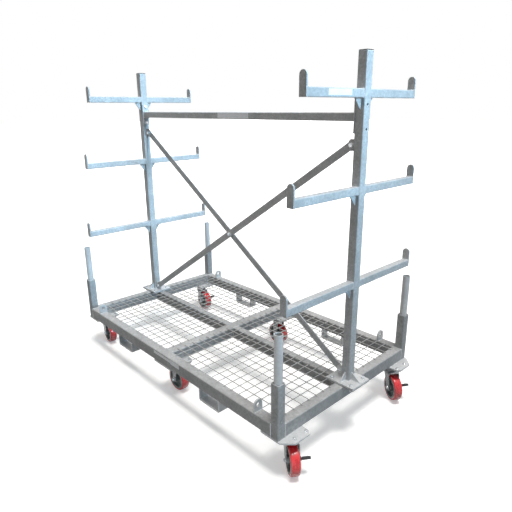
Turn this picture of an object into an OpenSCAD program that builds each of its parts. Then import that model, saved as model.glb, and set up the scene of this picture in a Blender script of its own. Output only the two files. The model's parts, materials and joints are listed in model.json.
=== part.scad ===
// Pipe trolley
//
// A welded box-section frame on six castors carries a wire deck, two bolted
// uprights with cantilever arms at three heights, and a loose pipe stake in
// each corner socket. Lengths are millimetres and angles are degrees.
// X runs along the deck, Y across it, and Z is up from the floor. The origin
// is on the floor under the middle of the deck. Pieces that come in fours are
// drawn once for the rear right corner and mirrored.

/* [Show] */
// Piece to draw, or "all"

/* [Deck frame] */
// Length over the end rails
frame_l = 2000; // [1800:10:2400]
// Width over the side rails
frame_w = 1155; // [1100:5:1300]
// Height of every frame rail
rail_h = 75; // [65:1:100]
// Width of the side and end rails
rail_w = 60; // [55:1:75]
// Wall of the frame rails
rail_wall = 4; // [3:0.5:6]
// Width of the cross-member at mid length
cross_w = 75; // [60:1:90]
// Width of the two spine beams along the middle
spine_w = 50; // [45:1:60]
// Diameter of the vent holes left for galvanising
vent_d = 12; // [8:1:14]

/* [Wire deck] */
// Thickness of a deck wire
wire_d = 5; // [4:0.5:6]
// Spacing of the deck wires both ways
wire_pitch = 57.5; // [50:0.5:75]
// Length of wire that lies on each rail
wire_lap = 20; // [15:1:22]

/* [Corner sockets and stakes] */
// Outside width of a square corner socket
socket_w = 50; // [48:1:60]
// Length of a socket from the frame's underside
socket_h = 300; // [220:5:400]
// Outside diameter of a pipe stake
stake_d = 42.4; // [38:0.1:43]
// Wall of a pipe stake
stake_wall = 3.2; // [2:0.2:5]
// Length of a pipe stake
stake_l = 550; // [450:5:800]

/* [Uprights] */
// Outside width of an upright
post_w = 50; // [46:1:60]
// Wall of an upright
post_wall = 3; // [2:0.5:5]
// Rise of an upright above the underside of its top arms
post_over = 201; // [180:1:300]
// Thickness of the cap's rim on top of an upright
cap_t = 4; // [3:0.5:8]
// Depth of the cap's plug inside the upright
cap_depth = 16; // [10:1:30]

/* [Foot plates] */
// Length of a foot plate along the trolley
foot_l = 180; // [170:1:200]
// Width of a foot plate across the trolley
foot_w = 150; // [140:1:170]
// Thickness of the foot plate and of the seat plate under it
foot_t = 8; // [6:1:12]
// Bolt spacing of a foot plate along the trolley
foot_bolt_dx = 126; // [120:1:130]
// Bolt spacing of a foot plate across the trolley
foot_bolt_dy = 112; // [106:1:116]
// Height of the ribs between foot plate and upright
rib_h = 45; // [30:1:60]
// Thickness of ribs, webs and brace ears
rib_t = 6; // [4:0.5:8]

/* [Arms] */
// Outside width of an arm
arm_w = 40; // [30:1:44]
// Wall of an arm
arm_wall = 3; // [2:0.5:4]
// Height of the low arms' underside above the frame
low_arm_h = 549; // [450:1:600]
// Height of the middle arms' underside above the frame
mid_arm_h = 1037; // [900:1:1060]
// Height of the top arms' underside above the frame
top_arm_h = 1485; // [1482:1:1530]
// Reach of the low arms from the centre line
low_arm_reach = 525; // [450:5:530]
// Reach of the middle arms from the centre line
mid_arm_reach = 490; // [400:5:530]
// Reach of the top arms from the centre line
top_arm_reach = 425; // [350:5:480]
// Height of an arm's end plate
stop_h = 105; // [90:1:140]
// Thickness of an arm's end plate
stop_t = 8; // [5:0.5:10]
// Length of the web under an arm
web_l = 42; // [30:1:60]
// Height of the web under an arm
web_h = 52; // [30:1:60]

/* [Tie bar and braces] */
// Outside width of the tie bar
tie_w = 40; // [30:1:50]
// Wall of the tie bar
tie_wall = 3; // [2:0.5:4]
// Height of the tie bar's axis above the frame
tie_axis_h = 1400; // [1380:1:1403]
// Height of the tie bar's end plates
tie_plate_h = 150; // [140:1:156]
// Thickness of the tie bar's end plates
tie_plate_t = 6; // [5:0.5:10]
// Spacing of the two bolts through an end plate
tie_bolt_dz = 111; // [100:1:115]
// Width of a brace strip
brace_w = 40; // [30:1:42]
// Thickness of a brace strip
brace_t = 6; // [4:0.5:8]
// Height of the upper brace bolts above the frame
brace_top_h = 1270; // [1220:1:1275]
// Height of the lower brace bolts above the frame
brace_low_h = 45; // [43:1:70]
// Distance of a brace bolt from the upright
brace_bolt_in = 24; // [23:0.5:30]

/* [Tie-down lugs] */
// Width of a tie-down lug across the rail
lug_w = 56; // [45:1:58]
// Height of a tie-down lug
lug_h = 65; // [60:1:80]
// Thickness of a tie-down lug
lug_t = 10; // [6:0.5:12]
// Hole through a tie-down lug
lug_hole_d = 24; // [18:1:26]
// Distance of a lug from the end of the frame
lug_in = 170; // [150:5:250]

/* [Fork loops] */
// Width of a fork loop along the rail
loop_w = 180; // [160:5:220]
// Drop of a fork loop below the rail
loop_drop = 71; // [60:1:90]
// Thickness of the loop strap
loop_t = 8; // [6:0.5:10]
// Distance of a loop's middle from mid length
loop_x = 466; // [350:5:500]

/* [Mounting plates] */
// Length of a mounting plate along the trolley
mount_l = 185; // [180:1:200]
// Width of a mounting plate across the trolley
mount_w = 175; // [170:1:200]
// Thickness of a mounting plate
mount_t = 10; // [8:0.5:12]
// Overhang of the corner plates past the end rail
mount_out = 65; // [60:1:75]
// Corner cut of a mounting plate at the outer corner
mount_cut = 54; // [30:1:60]
// Corner cut of a mounting plate at the inner corners
mount_trim = 20; // [10:1:30]

/* [Castor housings] */
// Distance of a corner castor's axis from the end of the frame
castor_in_x = 25; // [22:1:28]
// Distance of a castor's axis from the side of the frame
castor_in_y = 116.5; // [114:0.5:119]
// Length of a castor's top plate
top_plate_l = 160; // [154:1:168]
// Width of a castor's top plate
top_plate_w = 112; // [108:1:114]
// Thickness of a castor's top plate
top_plate_t = 6; // [5:0.5:8]
// Bolt spacing of a top plate along the trolley
plate_bolt_dx = 130; // [122:1:134]
// Bolt spacing of a top plate across the trolley
plate_bolt_dy = 84; // [78:1:86]
// Diameter of the swivel head
head_d = 70; // [60:1:74]
// Diameter of the king pin
king_d = 16; // [12:1:20]
// Thickness of the fork's crown
crown_t = 6; // [5:0.5:8]
// Thickness of a fork leg
leg_t = 5; // [4:0.5:6]
// Outside bend radius between a fork's crown and its legs
fork_bend_r = 20; // [14:1:22]
// Distance of the wheel axle behind the swivel axis
trail = 50; // [40:1:56]

/* [Wheels] */
// Wheel diameter over the tyre
wheel_d = 160; // [150:1:165]
// Width of the tyre
tyre_w = 50; // [40:1:52]
// Thickness of the tyre
tyre_t = 14; // [10:1:18]
// Diameter of the wheel's hub
hub_d = 44; // [36:1:50]
// Diameter of the axle bolts
axle_d = 12; // [10:1:14]
// Thickness of the wheel's web
web_t = 12; // [8:1:18]
// Number of openings in the wheel's web
web_holes = 5; // [3:1:6]

/* [Brake levers] */
// Thickness of a brake lever
lever_t = 4; // [3:0.5:5]
// Length of the pedal out from the fork
pedal_l = 44; // [30:1:50]
// Width of the pedal along the lever
pedal_w = 24; // [18:1:28]

/* [Castor angles] */
// Angle of the front right castor, degrees
front_right_turn = -34; // [-180:1:180]
// Angle of the rear right castor, degrees
rear_right_turn = -33; // [-180:1:180]
// Angle of the front left castor, degrees
front_left_turn = -7; // [-180:1:180]
// Angle of the rear left castor, degrees
rear_left_turn = -6; // [-180:1:180]

/* [Fasteners] */
// Diameter of the castor mounting bolts
bolt_d = 10; // [8:1:10]
// Diameter of the foot, tie bar and brace bolts
fixing_d = 12; // [10:1:12]

/* [Hidden] */

$fn = 48;
// Overrun of every cut past the face it opens
cut = 1;
// Corner radius of a box section, outside and inside, as shares of its wall
outer_r_share = 1.5;
inner_r_share = 0.5;
// Radial clearance of a wheel on its axle, a lever on it and a fork on its pin
running_fit = 0.05;
// Radial clearance of a stake in its socket
stake_fit = 0.05;
// Clearance between faces that move past each other
face_gap = 0.3;
// Clearance of a bolt in its hole, on the diameter
bolt_play = 1;
// Depth that two crossing deck wires are welded into each other
wire_weld = 1;
// Space left between deck wires and whatever they are cut around
wire_room = 3;
// Bolt head and nut sizes as shares of the bolt's diameter
head_af_share = 1.6;
head_h_share = 0.6;
nut_h_share = 0.8;
tail_share = 0.3;

// Castor heights, built up from the floor
axle_z = wheel_d / 2;
crown_room = 10;
race_h = 10;
head_h = 17.7;
crown_z = wheel_d + crown_room;
race_z = crown_z + crown_t;
head_z = race_z + race_h + face_gap;
top_plate_z = head_z + head_h;
mount_z = top_plate_z + top_plate_t;

// Frame heights
frame_z = mount_z + mount_t;
deck_z = frame_z + rail_h;
foot_z = deck_z + foot_t;
post_z = foot_z + foot_t;
low_arm_z = deck_z + low_arm_h;
mid_arm_z = deck_z + mid_arm_h;
top_arm_z = deck_z + top_arm_h;
cap_z = top_arm_z + post_over;
post_l = cap_z - post_z;
tie_z = deck_z + tie_axis_h;
brace_top_z = deck_z + brace_top_h;
brace_low_z = deck_z + brace_low_h;

// Places along and across the frame
end_x = frame_l / 2;
side_y = frame_w / 2;
post_x = end_x - post_w / 2;
post_face_x = post_x - post_w / 2;
socket_x = end_x - socket_w / 2;
socket_y = side_y - socket_w / 2;
castor_x = end_x - castor_in_x;
castor_y = side_y - castor_in_y;
mount_x = end_x + mount_out - mount_l / 2;
mount_y = side_y - mount_w / 2;
brace_bolt_x = post_face_x - brace_bolt_in;
lug_x = end_x - lug_in;
lug_y = side_y - rail_w / 2;

// Wire deck bays between the beams, with the wires centred in each
bay_x = end_x - rail_w - cross_w / 2;
bay_y = side_y - rail_w - spine_w / 2;
wire_cols = floor(bay_x / wire_pitch);
wire_rows = floor(bay_y / wire_pitch);
first_col_x = cross_w / 2 + (bay_x - (wire_cols - 1) * wire_pitch) / 2;
first_row_y = spine_w / 2 + (bay_y - (wire_rows - 1) * wire_pitch) / 2;

// Socket bore and wall follow the stake that slides in it
socket_bore = stake_d + 2 * stake_fit;
socket_wall = (socket_w - socket_bore) / 2;
stake_bore_d = stake_d - 2 * stake_wall;

// Castor parts worked out from the wheel between the fork's legs
tyre_room = 6;
hub_gap = 0.5;
leg_y = tyre_w / 2 + tyre_room;
hub_l = 2 * (leg_y - hub_gap);
core_r = wheel_d / 2 - tyre_t;
rim_t = 9;
rim_w = tyre_w - 2 * face_gap;
tread_edge = 4;
boss_r = 18;
crown_r = head_d / 2 + crown_t / 2;
leg_front_share = 0.55;
leg_back_share = 0.8;
heel_share = 0.25;
hole_share = 0.8;
head_neck_share = 0.8;
head_lip = 4;
king_rim = 5;
king_head_d = king_d + 2 * king_rim;
king_head_h = 5;
// Cap plug, a snug push into the upright
cap_fit = 0.1;
cap_wall = 2;
// Brake lever: its boss clears the axle nut, and it stands up behind the wheel's axle
lever_boss_share = 1.1;
lever_boss_r = axle_d * lever_boss_share;
lever_rise = 38;
pedal_corner_share = 0.25;
lever_y = leg_y + leg_t + face_gap;
// Half height and corner cut of a brace's ear, as shares of the brace's width
ear_half_share = 0.7;
ear_nose_share = 0.25;
// Bend radius of the fork loop's strap, outside
loop_bend_r = 12;
// Room round the mounting plate's small holes
small_hole_d = 8;

galvanised = [0.70, 0.72, 0.74];
zinc = [0.80, 0.81, 0.80];
cast_grey = [0.42, 0.43, 0.45];
polyurethane = [0.84, 0.15, 0.18];
black_plastic = [0.10, 0.10, 0.11];

// Helpers

module to_side(sx, sy) {
    mirror([sx < 0 ? 1 : 0, 0, 0])
        mirror([0, sy < 0 ? 1 : 0, 0])
            children();
}

module each_corner() {
    for (sx = [-1, 1], sy = [-1, 1]) {
        to_side(sx, sy) children();
    }
}

// A rectangle centred on the origin with round corners
module round_rect(w, h, r) {
    square([w - 2 * r, h], center = true);
    square([w, h - 2 * r], center = true);
    for (sx = [-1, 1], sy = [-1, 1]) {
        translate([sx * (w / 2 - r), sy * (h / 2 - r)]) circle(r);
    }
}

// Cold-formed box section, centred on its axis, standing up from z = 0
module box_section(w, h, wall, length) {
    difference() {
        linear_extrude(length) round_rect(w, h, wall * outer_r_share);
        translate([0, 0, -cut])
            linear_extrude(length + 2 * cut)
                round_rect(w - 2 * wall, h - 2 * wall, wall * inner_r_share);
    }
}

// The same section lying along X, centred, with its underside at z = 0
module box_along_x(w, h, wall, length) {
    translate([-length / 2, 0, h / 2])
        rotate([90, 0, 90]) box_section(w, h, wall, length);
}

// The same section lying along Y, starting at y = 0
module box_along_y(w, h, wall, length) {
    translate([0, length, h / 2])
        rotate([90, 0, 0]) box_section(w, h, wall, length);
}

// A flat plate in the X-Z plane, centred on y = 0
module upright_plate(t) {
    translate([0, t / 2, 0]) rotate([90, 0, 0]) linear_extrude(t) children();
}

// A right-angled rib: long side down the wall at x = 0, foot on z = 0
module rib(length, height, t) {
    nose = t / 2;
    upright_plate(t)
        polygon([[0, 0], [length, 0], [length, nose], [nose, height], [0, height]]);
}

// A bolt hanging down from its head at z = 0 through plates of thickness grip
module bolt(d, grip) {
    head_r = d * head_af_share / (2 * cos(30));
    cylinder(r = head_r, h = d * head_h_share, $fn = 6);
    translate([0, 0, -grip - d * (nut_h_share + tail_share)])
        cylinder(d = d, h = grip + d * (nut_h_share + tail_share));
    translate([0, 0, -grip - d * nut_h_share])
        cylinder(r = head_r, h = d * nut_h_share, $fn = 6);
}

// Four places of a rectangular bolt pattern
module pattern(dx, dy) {
    for (sx = [-1, 1], sy = [-1, 1]) {
        translate([sx * dx / 2, sy * dy / 2, 0]) children();
    }
}

// Frame

// Side rail, coped at its inner corners where the end rail passes
module side_rail() {
    length = frame_l - 2 * socket_w;
    difference() {
        translate([0, side_y - rail_w / 2, frame_z])
            box_along_x(rail_w, rail_h, rail_wall, length);
        for (sx = [-1, 1]) {
            translate([sx * (end_x - rail_w / 2) - rail_w / 2, side_y - rail_w - cut, frame_z - cut])
                cube([rail_w, rail_w - socket_w + cut, rail_h + 2 * cut]);
        }
    }
}

module front_side_rail() {
    color(galvanised) to_side(1, -1) side_rail();
}

module rear_side_rail() {
    color(galvanised) side_rail();
}

// End rail with the seat plate for the upright and a vent at each end
module end_rail() {
    length = frame_w - 2 * socket_w;
    vent_z = deck_z - rail_wall * outer_r_share - vent_d / 2;
    difference() {
        translate([end_x - rail_w / 2, -length / 2, frame_z])
            box_along_y(rail_w, rail_h, rail_wall, length);
        for (sy = [-1, 1]) {
            translate([end_x - rail_wall - cut, sy * length / 2, vent_z])
                rotate([0, 90, 0]) cylinder(d = vent_d, h = rail_wall + 2 * cut);
        }
    }
    difference() {
        translate([post_x - foot_l / 2, -foot_w / 2, deck_z]) cube([foot_l, foot_w, foot_t]);
        translate([post_x, 0, deck_z - cut]) {
            pattern(foot_bolt_dx, foot_bolt_dy)
                cylinder(d = fixing_d + bolt_play, h = foot_t + 2 * cut);
        }
    }
}

module right_end_rail() {
    color(galvanised) end_rail();
}

module left_end_rail() {
    color(galvanised) to_side(-1, 1) end_rail();
}

module mid_cross_member() {
    length = frame_w - 2 * rail_w;
    color(galvanised)
        translate([0, -length / 2, frame_z]) box_along_y(cross_w, rail_h, rail_wall, length);
}

module spine_beams() {
    length = end_x - rail_w - cross_w / 2;
    color(galvanised)
        for (sx = [-1, 1]) {
            translate([sx * (cross_w + length) / 2, 0, frame_z])
                box_along_x(spine_w, rail_h, rail_wall, length);
        }
}

// One quarter of the wire deck: long wires on top of the cross wires
module mesh_panel() {
    long_x = cross_w / 2 - wire_lap;
    cross_y = spine_w / 2 - wire_lap;
    difference() {
        union() {
            for (i = [0 : wire_cols - 1]) {
                translate([first_col_x + i * wire_pitch - wire_d / 2, cross_y, deck_z])
                    cube([wire_d, bay_y + 2 * wire_lap, wire_d]);
            }
            for (j = [0 : wire_rows - 1]) {
                translate([long_x, first_row_y + j * wire_pitch - wire_d / 2, deck_z + wire_d - wire_weld])
                    cube([bay_x + 2 * wire_lap, wire_d, wire_d]);
            }
        }
        translate([post_x - foot_l / 2 - wire_room, -foot_w / 2 - wire_room, deck_z - cut])
            cube([foot_l, foot_w + 2 * wire_room, 2 * wire_d + 2 * cut]);
        translate([lug_x - lug_t / 2 - wire_room, lug_y - lug_w / 2 - wire_room, deck_z - cut])
            cube([lug_t + 2 * wire_room, lug_w, 2 * wire_d + 2 * cut]);
    }
}

module front_left_mesh() {
    color(zinc) to_side(-1, -1) mesh_panel();
}

module front_right_mesh() {
    color(zinc) to_side(1, -1) mesh_panel();
}

module rear_left_mesh() {
    color(zinc) to_side(-1, 1) mesh_panel();
}

module rear_right_mesh() {
    color(zinc) mesh_panel();
}

// Square sockets that stand in the four corners of the frame
module corner_sockets() {
    hole_z = deck_z + socket_w / 2;
    color(galvanised)
        each_corner() difference() {
            translate([socket_x, socket_y, frame_z])
                box_section(socket_w, socket_w, socket_wall, socket_h);
            translate([socket_x, socket_y, hole_z])
                rotate([0, 90, 0]) cylinder(d = small_hole_d, h = socket_w);
        }
}

// Half-round plates with a hole, standing across the side rails
module tie_down_lugs() {
    color(galvanised)
        each_corner()
            translate([lug_x - lug_t / 2, lug_y, deck_z])
                rotate([90, 0, 90]) linear_extrude(lug_t) difference() {
                    union() {
                        translate([-lug_w / 2, 0]) square([lug_w, lug_h - lug_w / 2]);
                        translate([0, lug_h - lug_w / 2]) circle(d = lug_w);
                    }
                    translate([0, lug_h - lug_w / 2]) circle(d = lug_hole_d);
                }
}

// Bent straps under the side rails that take a lift truck's forks
module fork_loops() {
    color(galvanised)
        each_corner()
            translate([loop_x, side_y - rail_w / 2, frame_z])
                upright_plate(rail_w) difference() {
                    round_rect(loop_w, 2 * loop_drop, loop_bend_r);
                    round_rect(loop_w - 2 * loop_t, 2 * (loop_drop - loop_t), loop_bend_r - loop_t);
                    translate([-loop_w, 0]) square([2 * loop_w, 2 * loop_drop]);
                }
}

// Castor mounting plates

module mount_holes(x) {
    translate([x, castor_y, mount_z - cut])
        pattern(plate_bolt_dx, plate_bolt_dy)
            cylinder(d = bolt_d + bolt_play, h = mount_t + 2 * cut);
}

module corner_mount() {
    x0 = mount_x - mount_l / 2;
    x1 = mount_x + mount_l / 2;
    y0 = mount_y - mount_w / 2;
    y1 = mount_y + mount_w / 2;
    difference() {
        translate([0, 0, mount_z]) linear_extrude(mount_t)
            polygon([
                [x0, y0], [x1 - mount_trim, y0], [x1, y0 + mount_trim],
                [x1, y1 - mount_cut], [x1 - mount_cut, y1], [x0, y1]
            ]);
        mount_holes(castor_x);
    }
}

module mid_mount() {
    x1 = mount_l / 2;
    y0 = mount_y - mount_w / 2;
    y1 = mount_y + mount_w / 2;
    difference() {
        translate([0, 0, mount_z]) linear_extrude(mount_t)
            polygon([
                [mount_trim - x1, y0], [x1 - mount_trim, y0], [x1, y0 + mount_trim],
                [x1, y1], [-x1, y1], [-x1, y0 + mount_trim]
            ]);
        mount_holes(0);
    }
}

module castor_mounting_plates() {
    color(galvanised) {
        each_corner() corner_mount();
        for (sy = [-1, 1]) {
            to_side(1, sy) mid_mount();
        }
    }
}

// Four bolts to each castor, and the two axle bolts of the fixed castors
module castor_bolts() {
    grip = mount_t + top_plate_t;
    color(zinc) {
        each_corner() translate([castor_x, castor_y, frame_z])
            pattern(plate_bolt_dx, plate_bolt_dy) bolt(bolt_d, grip);
        for (sy = [-1, 1]) {
            to_side(1, sy) {
                translate([0, castor_y, frame_z])
                    pattern(plate_bolt_dx, plate_bolt_dy) bolt(bolt_d, grip);
                translate([0, castor_y, 0]) wheel_axle(0);
            }
        }
    }
}

// Uprights

module upright() {
    hole_d = fixing_d + bolt_play;
    difference() {
        translate([post_x, 0, post_z]) box_section(post_w, post_w, post_wall, post_l);
        for (s = [-1, 1]) {
            translate([post_face_x - cut, 0, tie_z + s * tie_bolt_dz / 2])
                rotate([0, 90, 0]) cylinder(d = hole_d, h = post_w + 2 * cut);
        }
    }
    ear_h = brace_w * ear_half_share;
    brace_ear(brace_top_z - ear_h, brace_top_z + ear_h);
}

// Plate welded to the inner face of the upright, drilled for a brace bolt
module brace_ear(z0, z1) {
    ear_l = brace_bolt_in + brace_w / 2;
    nose = brace_w * ear_nose_share;
    bolt_z = (z0 + z1) / 2;
    difference() {
        translate([post_face_x, 0, 0]) mirror([1, 0, 0]) upright_plate(rib_t)
            polygon([
                [0, z0], [ear_l - nose, z0], [ear_l, z0 + nose],
                [ear_l, z1 - nose], [ear_l - nose, z1], [0, z1]
            ]);
        brace_hole(brace_bolt_x, bolt_z);
    }
}

module brace_hole(x, z) {
    translate([x, brace_w / 2, z])
        rotate([90, 0, 0]) cylinder(d = fixing_d + bolt_play, h = brace_w);
}

module left_upright() {
    color(galvanised) to_side(-1, 1) upright();
}

module right_upright() {
    color(galvanised) upright();
}

// Foot plate, three ribs, and the taller ear that holds the lower brace bolt
module upright_foot() {
    side_rib = (foot_w - post_w) / 2 - fixing_d / 2;
    end_rib = foot_l / 2 - post_w / 2 - fixing_d / 2;
    difference() {
        translate([post_x - foot_l / 2, -foot_w / 2, foot_z]) cube([foot_l, foot_w, foot_t]);
        translate([post_x, 0, foot_z - cut])
            pattern(foot_bolt_dx, foot_bolt_dy)
                cylinder(d = fixing_d + bolt_play, h = foot_t + 2 * cut);
    }
    translate([post_x, 0, post_z]) {
        translate([post_w / 2, 0, 0]) rib(end_rib, rib_h, rib_t);
        for (a = [90, 270]) {
            rotate([0, 0, a]) translate([post_w / 2, 0, 0]) rib(side_rib, rib_h, rib_t);
        }
    }
    brace_ear(post_z, 2 * brace_low_z - post_z);
}

module upright_feet() {
    color(galvanised) {
        upright_foot();
        to_side(-1, 1) upright_foot();
    }
}

// Plastic cap: a rim on top of the tube and a hollow plug inside it
module upright_caps() {
    plug_w = post_w - 2 * post_wall - 2 * cap_fit;
    color(black_plastic)
        for (sx = [-1, 1]) {
            translate([sx * post_x, 0, cap_z]) {
                linear_extrude(cap_t) round_rect(post_w, post_w, post_wall * outer_r_share);
                translate([0, 0, -cap_depth])
                    box_section(plug_w, plug_w, cap_wall, cap_depth);
            }
        }
}

// Arms: a box section each side of the upright, with an end plate and a web

module arm(z, reach) {
    length = reach - stop_t - post_w / 2;
    translate([post_x, post_w / 2, z]) {
        box_along_y(arm_w, arm_w, arm_wall, length);
        translate([0, length + stop_t / 2, 0]) upright_plate(stop_t) {
            translate([-arm_w / 2, 0]) square([arm_w, stop_h - arm_w / 2]);
            translate([0, stop_h - arm_w / 2]) circle(d = arm_w);
        }
        mirror([0, 0, 1]) rotate([0, 0, 90]) rib(web_l, web_h, rib_t);
    }
}

module arm_pair(z, reach) {
    arm(z, reach);
    to_side(1, -1) arm(z, reach);
}

module left_low_arms() {
    color(galvanised) to_side(-1, 1) arm_pair(low_arm_z, low_arm_reach);
}

module left_mid_arms() {
    color(galvanised) to_side(-1, 1) arm_pair(mid_arm_z, mid_arm_reach);
}

module left_top_arms() {
    color(galvanised) to_side(-1, 1) arm_pair(top_arm_z, top_arm_reach);
}

module right_low_arms() {
    color(galvanised) arm_pair(low_arm_z, low_arm_reach);
}

module right_mid_arms() {
    color(galvanised) arm_pair(mid_arm_z, mid_arm_reach);
}

module right_top_arms() {
    color(galvanised) arm_pair(top_arm_z, top_arm_reach);
}

// Tie bar and braces

module top_tie_bar() {
    length = 2 * (post_face_x - tie_plate_t);
    color(galvanised) {
        translate([0, 0, tie_z - tie_w / 2]) box_along_x(tie_w, tie_w, tie_wall, length);
        for (sx = [-1, 1]) {
            to_side(sx, 1) difference() {
                translate([post_face_x - tie_plate_t, -post_w / 2, tie_z - tie_plate_h / 2])
                    cube([tie_plate_t, post_w, tie_plate_h]);
                for (s = [-1, 1]) {
                    translate([post_face_x - tie_plate_t - cut, 0, tie_z + s * tie_bolt_dz / 2])
                        rotate([0, 90, 0])
                            cylinder(d = fixing_d + bolt_play, h = tie_plate_t + 2 * cut);
                }
            }
        }
    }
}

// A strip with round ends from the lower left bolt to the upper right one
module brace() {
    run = 2 * brace_bolt_x;
    rise = brace_top_z - brace_low_z;
    length = norm([run, rise]);
    translate([0, 0, (brace_top_z + brace_low_z) / 2])
        upright_plate(brace_t) rotate(atan2(rise, run)) difference() {
            union() {
                square([length, brace_w], center = true);
                for (s = [-1, 1]) {
                    translate([s * length / 2, 0]) circle(d = brace_w);
                }
            }
            for (s = [-1, 0, 1]) {
                translate([s * length / 2, 0]) circle(d = fixing_d + bolt_play);
            }
        }
}

module rising_brace() {
    color(galvanised) translate([0, -(rib_t + brace_t) / 2, 0]) brace();
}

module falling_brace() {
    color(galvanised) translate([0, (rib_t + brace_t) / 2, 0]) to_side(-1, 1) brace();
}

// Bolts of the feet, the tie bar and the braces, with the spacer at the crossing
module frame_bolts() {
    middle_z = (brace_top_z + brace_low_z) / 2;
    ear_grip = rib_t + brace_t;
    color(zinc) {
        for (sx = [-1, 1]) {
            to_side(sx, 1) {
                translate([post_x, 0, post_z])
                    pattern(foot_bolt_dx, foot_bolt_dy) bolt(fixing_d, 2 * foot_t);
                for (s = [-1, 1]) {
                    translate([post_face_x - tie_plate_t, 0, tie_z + s * tie_bolt_dz / 2])
                        rotate([0, -90, 0]) bolt(fixing_d, tie_plate_t + post_wall);
                }
            }
            // The rising brace is bolted to the front of its ears, the falling one behind
            translate([sx * brace_bolt_x, 0, sx > 0 ? brace_top_z : brace_low_z])
                translate([0, -rib_t / 2 - brace_t, 0]) rotate([90, 0, 0]) bolt(fixing_d, ear_grip);
            translate([sx * brace_bolt_x, 0, sx > 0 ? brace_low_z : brace_top_z])
                translate([0, -rib_t / 2, 0]) rotate([90, 0, 0]) bolt(fixing_d, ear_grip);
        }
        translate([0, 0, middle_z]) {
            translate([0, -rib_t / 2 - brace_t, 0])
                rotate([90, 0, 0]) bolt(fixing_d, rib_t + 2 * brace_t);
            rotate([90, 0, 0]) cylinder(d = 2 * fixing_d, h = rib_t, center = true);
        }
    }
}

// Stakes, standing on the mounting plates inside the corner sockets

module stake() {
    translate([socket_x, socket_y, frame_z + face_gap]) difference() {
        cylinder(d = stake_d, h = stake_l);
        translate([0, 0, -cut]) cylinder(d = stake_bore_d, h = stake_l + 2 * cut);
    }
}

module front_left_stake() {
    color(galvanised) to_side(-1, -1) stake();
}

module front_right_stake() {
    color(galvanised) to_side(1, -1) stake();
}

module rear_left_stake() {
    color(galvanised) to_side(-1, 1) stake();
}

module rear_right_stake() {
    color(galvanised) stake();
}

// Castors. Each is drawn about its swivel axis with the wheel behind it on +X.

module at_castor(sx, sy, turn) {
    translate([sx * castor_x, sy * castor_y, 0]) rotate([0, 0, turn]) children();
}

module top_plate() {
    translate([0, 0, top_plate_z]) difference() {
        linear_extrude(top_plate_t) round_rect(top_plate_l, top_plate_w, bolt_d);
        translate([0, 0, -cut])
            pattern(plate_bolt_dx, plate_bolt_dy)
                cylinder(d = bolt_d + bolt_play, h = top_plate_t + 2 * cut);
    }
}

// Top plate, the pressed dish of the upper race under it, and the king pin through the fork
module swivel_head() {
    lip_r = head_d / 2;
    neck_in = lip_r * (1 - head_neck_share);
    flare = [
        for (a = [0 : 15 : 90]) [lip_r - neck_in * sin(a), head_lip + (head_h - head_lip) * (1 - cos(a))]
    ];
    top_plate();
    translate([0, 0, head_z])
        rotate_extrude() polygon(concat([[0, 0], [lip_r, 0]], flare, [[0, head_h]]));
    translate([0, 0, crown_z - face_gap - king_head_h])
        cylinder(d = king_head_d, h = king_head_h);
    translate([0, 0, crown_z - face_gap - king_head_h])
        cylinder(d = king_d, h = top_plate_z - crown_z + face_gap + king_head_h);
}

module swivel_heads() {
    color(zinc)
        for (sx = [-1, 1], sy = [-1, 1]) {
            translate([sx * castor_x, sy * castor_y, 0]) swivel_head();
        }
}

// Side view of a fork leg: wide at the crown, round at the axle
module leg_outline(x, top_z) {
    difference() {
        union() {
            polygon([
                [-crown_r * leg_front_share, top_z], [crown_r * leg_back_share + x * heel_share, top_z],
                [x + boss_r, axle_z], [x - boss_r, axle_z]
            ]);
            translate([x, axle_z]) circle(boss_r);
        }
        translate([x, axle_z]) circle(d = axle_d + bolt_play / 2);
    }
}

// One strap bent over the wheel into a crown and two legs, then trimmed to the side view
module bent_strap(x, top_z) {
    half_w = leg_y + leg_t;
    foot_z = axle_z - boss_r;
    rise = top_z - foot_z;
    intersection() {
        translate([-crown_r, 0, foot_z]) rotate([90, 0, 90])
            linear_extrude(2 * crown_r + x + boss_r) difference() {
                round_rect(2 * half_w, 2 * rise, fork_bend_r);
                round_rect(2 * leg_y, 2 * (rise - crown_t), fork_bend_r - leg_t);
            }
        upright_plate(2 * half_w) leg_outline(x, top_z);
    }
}

// Swivelling fork: a strap that trails back, with the lower race on its crown
module fork() {
    difference() {
        union() {
            bent_strap(trail, race_z);
            translate([0, 0, crown_z]) {
                cylinder(r = crown_r, h = crown_t);
                cylinder(d = head_d, h = crown_t + race_h);
            }
        }
        translate([0, 0, crown_z - cut])
            cylinder(d = king_d + 2 * running_fit, h = crown_t + race_h + 2 * cut);
    }
}

module front_left_fork() {
    color(zinc) at_castor(-1, -1, front_left_turn) fork();
}

module front_right_fork() {
    color(zinc) at_castor(1, -1, front_right_turn) fork();
}

module rear_left_fork() {
    color(zinc) at_castor(-1, 1, rear_left_turn) fork();
}

module rear_right_fork() {
    color(zinc) at_castor(1, 1, rear_right_turn) fork();
}

// Fixed fork: the strap runs straight up to the top plate
module fixed_forks() {
    color(zinc)
        for (sy = [-1, 1]) {
            translate([0, sy * castor_y, 0]) {
                top_plate();
                bent_strap(0, top_plate_z);
            }
        }
}

// Axle bolt through both legs; side > 0 leaves room for the brake lever
module wheel_axle(side) {
    lever_room = side > 0 ? lever_t + 2 * face_gap : 0;
    grip = 2 * (leg_y + leg_t) + lever_room;
    translate([0, -leg_y - leg_t, axle_z]) rotate([90, 0, 0]) bolt(axle_d, grip);
}

module trailing_axle() {
    translate([trail, 0, 0]) wheel_axle(1);
}

module front_left_axle() {
    color(zinc) at_castor(-1, -1, front_left_turn) trailing_axle();
}

module front_right_axle() {
    color(zinc) at_castor(1, -1, front_right_turn) trailing_axle();
}

module rear_left_axle() {
    color(zinc) at_castor(-1, 1, rear_left_turn) trailing_axle();
}

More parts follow.
